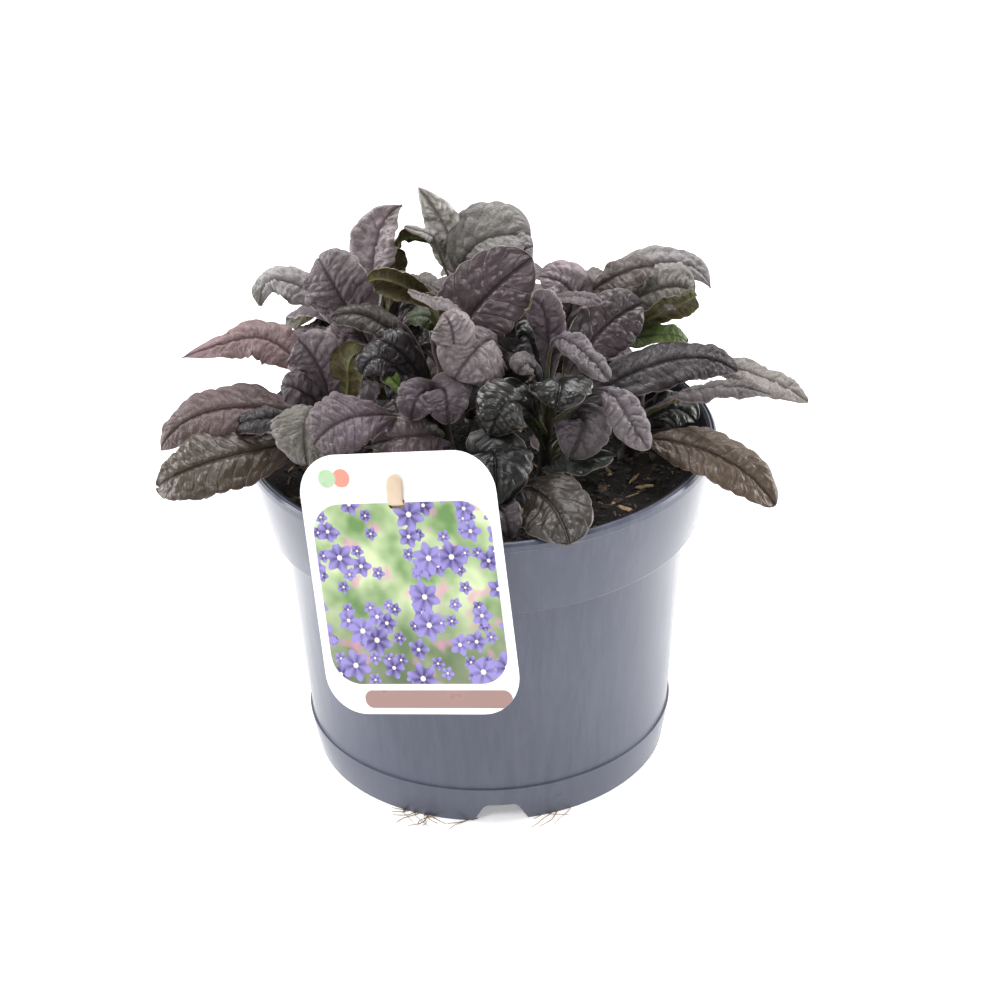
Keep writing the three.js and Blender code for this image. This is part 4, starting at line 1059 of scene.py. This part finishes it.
def add_stem(bm, foot, top, sizes, material_index):
    """The crown's own short stem: an upright foot in the soil, then a leaning, slightly knotted upper part."""
    before = set(bm.faces)
    collar = 4 * MM
    low_radius, high_radius, depth = 3.2 * MM, 2.2 * MM, 12 * MM
    axis = (top - foot).normalized()
    reach = (top - foot).length + 1.5 * MM
    upright = depth + collar + MM
    bmesh.ops.create_cone(
        bm, cap_ends=True, segments=24, radius1=low_radius, radius2=low_radius, depth=upright,
        matrix=Matrix.Translation(foot + UP * (upright / 2 - depth)),
    )
    lean = axis.to_track_quat("Z", "Y").to_matrix().to_4x4()
    upper = bmesh.ops.create_cone(
        bm, cap_ends=True, segments=20, radius1=low_radius, radius2=high_radius, depth=reach - collar,
        matrix=Matrix.Translation(foot + axis * (collar + reach) / 2) @ lean,
    )["verts"]
    sides = dict.fromkeys(edge for vert in upper for edge in vert.link_edges)
    sides = [edge for edge in sides if abs((edge.verts[1].co - edge.verts[0].co).normalized().dot(axis)) > 0.9]
    rings = bmesh.ops.subdivide_edges(bm, edges=sides, cuts=16, use_grid_fill=True)["geom_inner"]
    knot_gap = 9 * MM
    for vert in verts_in(rings):
        high = (vert.co - foot).dot(axis)
        out = vert.co - foot - axis * high
        knot = math.exp(-(((high / knot_gap + 0.5) % 1 - 0.5) / 0.12) ** 2)
        vert.co += out * (0.16 * knot - 0.12 + 0.12 * noise.noise(vert.co * 600))
    for face in set(bm.faces) - before:
        face.material_index = material_index


def make_crown(name, sizes, materials):
    foot, top, placed = CROWNS[name]
    foot, top = Vector(foot) * MM, Vector(top) * MM
    noise.seed_set(NOISE_SEED)
    bm = bmesh.new()
    floats = bm.verts.layers.float
    layers = {key: floats.new(key) for key in ("along", "row", "relief", "under", "gloss")}
    layers["flat"] = bm.verts.layers.float_vector.new("flat")
    layers["tint"] = bm.verts.layers.float_color.new("tint")
    layers["index"] = bm.verts.layers.int.new("index")
    add_stem(bm, foot, top, sizes, 1)
    number = list(CROWNS).index(name) * MOST_LEAVES
    for i, leaf in enumerate([*placed, *tier_leaves(name)]):
        add_leaf(bm, layers, leaf, foot.lerp(top, leaf.at), sizes, number + i + 0.5)
    for face in bm.faces:
        face.smooth = True
    return finished("foliage_" + name, bm, materials, ["crown_" + name])


# Label and stake

CARD_CENTRE = Vector((-28.3, -95.9, 125.1)) * MM
CARD_YAW, CARD_LEAN, CARD_TURN = degrees(-22.4), degrees(12.7), degrees(10.9)
CARD_HOLE = (-0.5, 31.4, 6.8, 3.6)
TONGUE_END = (0.8, 43)
STAKE_WIDTH, STAKE_THICKNESS = 6 * MM, 1.4 * MM
STAKE_FOOT = (-24, -70, 88)
STAKE_BEND = 128


def card_frame():
    """The card's own axes at its place: X across it, Y up it, and Z the way that its front looks."""
    across = Vector((math.cos(CARD_YAW), math.sin(CARD_YAW), 0))
    normal = Vector((
        math.sin(CARD_YAW) * math.cos(CARD_LEAN),
        -math.cos(CARD_YAW) * math.cos(CARD_LEAN),
        math.sin(CARD_LEAN),
    ))
    upward = normal.cross(across).normalized()
    turn = Matrix((*rolled(across, upward, CARD_TURN), normal)).transposed().to_4x4()
    return Matrix.Translation(CARD_CENTRE) @ turn


def rounded_slab(bm, width, height, corner, thickness, centre=(0, 0), segments=14):
    """A flat slab with round corners, from a square whose corners are cut round."""
    verts = bmesh.ops.create_grid(bm, x_segments=1, y_segments=1, size=0.5)["verts"]
    for vert in verts:
        vert.co = Vector((vert.co.x * width + centre[0], vert.co.y * height + centre[1], -thickness / 2))
    face = verts[0].link_faces[0]
    bmesh.ops.bevel(
        bm, geom=verts, offset=corner, affect="VERTICES", segments=segments, profile=0.5, material=-1
    )
    lifted = bmesh.ops.extrude_face_region(bm, geom=list(bm.faces), use_keep_orig=True)["geom"]
    bmesh.ops.translate(bm, verts=verts_in(lifted), vec=(0, 0, thickness))
    bmesh.ops.recalc_face_normals(bm, faces=bm.faces)


def make_label(sizes):
    bm = bmesh.new()
    rounded_slab(bm, sizes.width, sizes.height, sizes.corner, sizes.thickness)
    piece = finished("label_card", bm, [printed_card(sizes)], ["plant_label"])
    cutter = bmesh.new()
    x, y, wide, high = (value * MM for value in CARD_HOLE)
    rounded_slab(cutter, wide, high, 1.2 * MM, 6 * MM, (x, y), segments=5)
    cut_out(piece, cutter)
    rim = bmesh.new()
    rim.from_mesh(piece.data)
    rims = [e for e in rim.edges if len(e.link_faces) == 2 and e.calc_face_angle() > 1.2]
    bmesh.ops.bevel(rim, geom=rims, offset=0.12 * MM, affect="EDGES", segments=2, profile=0.5, material=-1)
    uv = rim.loops.layers.uv.new("card")
    front = rim.verts.layers.float.new("front")
    for face in rim.faces:
        for loop in face.loops:
            loop[uv].uv = (loop.vert.co.x / sizes.width + 0.5, loop.vert.co.y / sizes.height + 0.5)
    for vert in rim.verts:
        vert[front] = 1 if vert.co.z > 0 else 0
    bmesh.ops.transform(rim, matrix=card_frame(), verts=rim.verts)
    rim.to_mesh(piece.data)
    rim.free()
    smooth_shaded(piece, 40)
    largest_rounded = 4 * MM ** 2
    for face in piece.data.polygons:
        face.use_smooth = face.area < largest_rounded
    return piece


def smooth_route(points, s):
    """A point on a centripetal Catmull-Rom curve through the points, s from 0 to 1 along their count."""
    last = len(points) - 1
    i = min(int(s * last), last - 1)
    local = s * last - i
    p1, p2 = points[i], points[i + 1]
    p0 = points[i - 1] if i else p1 * 2 - p2
    p3 = points[i + 2] if i + 2 <= last else p2 * 2 - p1
    knots = [0.0]
    for a, b in ((p0, p1), (p1, p2), (p2, p3)):
        knots.append(knots[-1] + max((b - a).length, 1e-6) ** 0.5)
    k = blend(knots[1], knots[2], local)

    def between(a, b, low, high):
        return a * ((high - k) / (high - low)) + b * ((k - low) / (high - low))

    a1 = between(p0, p1, knots[0], knots[1])
    a2 = between(p1, p2, knots[1], knots[2])
    a3 = between(p2, p3, knots[2], knots[3])
    b1 = between(a1, a2, knots[0], knots[2])
    b2 = between(a2, a3, knots[1], knots[3])
    return between(b1, b2, knots[1], knots[2])


def make_stake():
    """The flat strip that carries the card: up out of the soil, through the card's hole and up its face."""
    card = card_frame()
    hole_x, hole_y = CARD_HOLE[:2]
    end_x, end_y = TONGUE_END
    half_card, play = 0.4, 0.3
    face = half_card + STAKE_THICKNESS / MM / 2 + play
    on_card = [
        (hole_x, hole_y - 8, -7),
        (hole_x, hole_y - 0.6, -1.6),
        (hole_x, hole_y + 0.6, 1.0),
        ((hole_x + end_x) / 2, (hole_y + end_y) / 2, face + 0.8),
        (end_x, end_y, face + 0.4),
    ]
    x, y, z = STAKE_FOOT
    upright = [(x, y, z), (x, y, (z + STAKE_BEND) / 2), (x, y, STAKE_BEND), (x, y, STAKE_BEND + 3)]
    points = [Vector(p) * MM for p in upright] + [card @ (Vector(p) * MM) for p in on_card]
    reach = (points[-1] - points[-2]).length * (len(points) - 1)
    bm = bmesh.new()
    index = bm.verts.layers.int.new("index")
    grid = bmesh.ops.create_grid(bm, x_segments=8, y_segments=170, size=1)["verts"]
    lower_faces = list(bm.faces)
    fronts = []
    for vert in grid:
        s = (vert.co.y + 1) / 2
        place = smooth_route(points, s)
        run = (smooth_route(points, min(s + 0.004, 1)) - smooth_route(points, max(s - 0.004, 0))).normalized()
        share = clamp((s - 0.5) / 0.25)
        flat = Vector((1, 0, 0)).lerp(card.to_3x3() @ Vector((1, 0, 0)), share * share * (3 - 2 * share))
        flat = (flat - run * flat.dot(run)).normalized()
        thick = flat.cross(run)
        to_end = clamp((1 - s) * reach / (STAKE_WIDTH / 2))
        tip = max(math.sqrt(1 - (1 - to_end) ** 2), 0.12)
        wide = STAKE_WIDTH / 2 * tip * vert.co.x
        crown = STAKE_THICKNESS / 2 * (1 - 0.35 * abs(vert.co.x) ** 4)
        fronts.append(place + flat * wide + thick * crown)
        vert[index] = len(fronts) - 1
        vert.co = place + flat * wide - thick * crown
    slab(bm, lower_faces, index, fronts)
    bmesh.ops.recalc_face_normals(bm, faces=bm.faces)
    piece = finished("stake_strip", bm, [stake_plastic()], ["label_stake"])
    smooth_shaded(piece, 50)
    return piece


# Roots

# Tufts of fine roots that grew out at the foot: first and last heading in degrees, and how many.
ROOT_TUFTS = [(-120, -107, 13), (-99, -95, 2), (-76, -60, 5)]
ROOT_STEPS = 8


def make_roots(sizes):
    """Thin roots that come out under the foot ring and lie along the surface."""
    bm = bmesh.new()
    rng = random.Random(19)
    thick = 0.32 * MM
    for first, last, count in ROOT_TUFTS:
        for i in range(count):
            turn = degrees(rng.uniform(first, last))
            out = Vector((math.cos(turn), math.sin(turn), 0))
            aside = Vector((-out.y, out.x, 0))
            start = out * (sizes.skirt_foot_radius - 1.5 * MM) + UP * thick
            far, bend, phase = rng.uniform(2, 11) * MM, rng.uniform(-13, 13) * MM, rng.uniform(0, math.tau)
            path = []
            for step in range(ROOT_STEPS + 1):
                s = step / ROOT_STEPS
                swing = bend * s * s + 1.2 * MM * math.sin(s * 6 + phase)
                path.append(start + out * far * s + aside * swing)
            ring = bmesh.ops.create_circle(bm, segments=6, radius=thick, cap_ends=True)["verts"]
            look = (path[1] - path[0]).to_track_quat("Z", "Y").to_matrix().to_4x4()
            bmesh.ops.transform(bm, matrix=Matrix.Translation(path[0]) @ look, verts=ring)
            faces = list(dict.fromkeys(f for v in ring for f in v.link_faces if len(f.verts) == 6))
            for a, b in zip(path, path[1:]):
                made = bmesh.ops.extrude_face_region(bm, geom=faces)["geom"]
                faces = [f for f in made if isinstance(f, bmesh.types.BMFace)]
                verts = verts_in(made)
                bmesh.ops.translate(bm, verts=verts, vec=b - a)
                middle = sum((v.co for v in verts), Vector()) / len(verts)
                bmesh.ops.scale(bm, verts=verts, vec=(0.9, 0.9, 0.9), space=Matrix.Translation(-middle))
    for vert in bm.verts:
        vert.co.z = max(vert.co.z, 0.05 * MM)
    for face in bm.faces:
        face.smooth = True
    bmesh.ops.recalc_face_normals(bm, faces=bm.faces)
    return finished("fine_roots", bm, [root_skin()])


# Stage

def make_stage(sizes):
    """A plain pale floor, white surroundings, soft lights, and the camera."""
    scene = bpy.context.scene
    world = bpy.data.worlds.new("white_room")
    world.use_nodes = True
    tree = world.node_tree
    path = tree.nodes.new("ShaderNodeLightPath").outputs
    aim = tree.nodes.new("ShaderNodeTexCoord").outputs["Generated"]
    parts = tree.nodes.new("ShaderNodeSeparateXYZ")
    tree.links.new(aim, parts.inputs[0])

    def level(value, first, last, low, high):
        ramp = tree.nodes.new("ShaderNodeMapRange")
        for socket, number in zip(ramp.inputs[1:5], (first, last, low, high)):
            if isinstance(number, (int, float)):
                socket.default_value = number
            else:
                tree.links.new(number, socket)
        tree.links.new(value, ramp.inputs["Value"])
        return ramp.outputs[0]

    soft = level(parts.outputs[1], -0.8, 0.3, sizes.sky * 0.6, sizes.sky * 1.2)
    mirrored = level(parts.outputs[1], -0.8, -0.1, 0.3, 1.05)
    level_seen = level(path["Is Glossy Ray"], 0.0, 1.0, soft, mirrored)
    level_seen = level(path["Is Camera Ray"], 0.0, 1.0, level_seen, 1.05)
    tree.nodes["Background"].inputs["Color"].default_value = (1, 1, 1, 1)
    tree.links.new(level_seen, tree.nodes["Background"].inputs["Strength"])
    scene.world = world
    scene.view_settings.view_transform = "Standard"
    scene.view_settings.look = "None"

    bm = bmesh.new()
    bmesh.ops.create_grid(bm, x_segments=1, y_segments=1, size=6)
    shader = Shader("pale_floor")
    shader.set(Base_Color=sizes.floor, Roughness=0.9, Emission_Color=(1, 1, 1), Emission_Strength=0.3)
    mesh_object("floor", bm, [shader.material])

    middle = Vector((0, 0, 0.12))
    for name, place, size, power in (
        ("overhead", (0.05, 0.35, 1.1), 0.8, sizes.key * 0.6),
        ("left", (-1.3, 0.3, 0.5), 0.8, sizes.key * 0.8),
        ("right", (1.3, 0.3, 0.5), 0.8, sizes.key * 0.8),
        ("front", (-0.5, -1.1, 1.4), 0.5, sizes.key * 0.6),
    ):
        data = bpy.data.lights.new(name, "AREA")
        data.shape = "DISK"
        data.size = size
        data.energy = power
        light = in_scene(name, data)
        light.location = place
        light.rotation_mode = "QUATERNION"
        light.rotation_quaternion = (Vector(place) - middle).to_track_quat("Z", "Y")

    look = Vector((0, math.cos(sizes.elevation), -math.sin(sizes.elevation)))
    right = Vector((1, 0, 0))
    upward = right.cross(look)
    data = bpy.data.cameras.new("camera")
    data.sensor_width = 36
    data.lens = sizes.lens
    data.clip_start, data.clip_end = 0.05, 50
    camera = in_scene("camera", data)
    target = Vector((sizes.target_x, 0, sizes.target_z))
    turn = Matrix((*rolled(right, upward, sizes.roll), -look)).transposed().to_4x4()
    camera.matrix_world = Matrix.Translation(target - look * sizes.distance) @ turn
    scene.camera = camera


# Operators, one for each piece or group of like pieces

class BUGLEWEED_OT_stage(bpy.types.Operator):
    """Make the floor, the lights and the camera"""
    bl_idname = "bugleweed.stage"
    bl_label = "Stage"

    def execute(self, context):
        make_stage(context.scene.bugleweed_studio)
        return {"FINISHED"}


class BUGLEWEED_OT_pot(bpy.types.Operator):
    """Make the moulded pot"""
    bl_idname = "bugleweed.pot"
    bl_label = "Pot"

    def execute(self, context):
        make_pot(context.scene.bugleweed_pot)
        return {"FINISHED"}


class BUGLEWEED_OT_soil(bpy.types.Operator):
    """Make the soil with its bark chips and crumbs"""
    bl_idname = "bugleweed.soil"
    bl_label = "Soil"

    def execute(self, context):
        make_soil(context.scene.bugleweed_soil, context.scene.bugleweed_pot)
        make_litter(context.scene.bugleweed_soil)
        return {"FINISHED"}


class BUGLEWEED_OT_foliage(bpy.types.Operator):
    """Make the leafy crowns"""
    bl_idname = "bugleweed.foliage"
    bl_label = "Foliage"

    def execute(self, context):
        sizes = context.scene.bugleweed_leaf
        materials = [leaf_skin(sizes), stem_skin(sizes)]
        for name in CROWNS:
            make_crown(name, sizes, materials)
        return {"FINISHED"}


class BUGLEWEED_OT_label(bpy.types.Operator):
    """Make the plant label and the stake that carries it"""
    bl_idname = "bugleweed.label"
    bl_label = "Label and stake"

    def execute(self, context):
        make_label(context.scene.bugleweed_label)
        make_stake()
        return {"FINISHED"}


class BUGLEWEED_OT_roots(bpy.types.Operator):
    """Make the fine roots at the foot of the pot"""
    bl_idname = "bugleweed.roots"
    bl_label = "Roots"

    def execute(self, context):
        make_roots(context.scene.bugleweed_pot)
        return {"FINISHED"}


OPERATORS = (
    BUGLEWEED_OT_stage,
    BUGLEWEED_OT_pot,
    BUGLEWEED_OT_soil,
    BUGLEWEED_OT_foliage,
    BUGLEWEED_OT_label,
    BUGLEWEED_OT_roots,
)
SETTINGS = {
    "bugleweed_pot": PotSettings,
    "bugleweed_soil": SoilSettings,
    "bugleweed_leaf": LeafSettings,
    "bugleweed_label": LabelSettings,
    "bugleweed_studio": StudioSettings,
}


class BUGLEWEED_PT_sidebar(bpy.types.Panel):
    """Lists the sizes, the colours and the pieces"""
    bl_idname = "BUGLEWEED_PT_sidebar"
    bl_label = "Potted bugleweed"
    bl_space_type = "VIEW_3D"
    bl_region_type = "UI"
    bl_category = "Bugleweed"

    def draw(self, context):
        for name, group in SETTINGS.items():
            box = self.layout.box()
            for key in group.__annotations__:
                box.prop(getattr(context.scene, name), key)
        for operator in OPERATORS:
            self.layout.operator(operator.bl_idname)


def register():
    for group in SETTINGS.values():
        bpy.utils.register_class(group)
    for name, group in SETTINGS.items():
        setattr(bpy.types.Scene, name, bpy.props.PointerProperty(type=group))
    for operator in OPERATORS:
        bpy.utils.register_class(operator)
    bpy.utils.register_class(BUGLEWEED_PT_sidebar)


def unregister():
    bpy.utils.unregister_class(BUGLEWEED_PT_sidebar)
    for operator in reversed(OPERATORS):
        bpy.utils.unregister_class(operator)
    for name in SETTINGS:
        delattr(bpy.types.Scene, name)
    for group in SETTINGS.values():
        bpy.utils.unregister_class(group)


def main():
    register()
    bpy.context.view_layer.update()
    bpy.ops.bugleweed.stage()
    bpy.ops.bugleweed.pot()
    bpy.ops.bugleweed.soil()
    bpy.ops.bugleweed.foliage()
    bpy.ops.bugleweed.label()
    bpy.ops.bugleweed.roots()


if __name__ == "__main__":
    main()
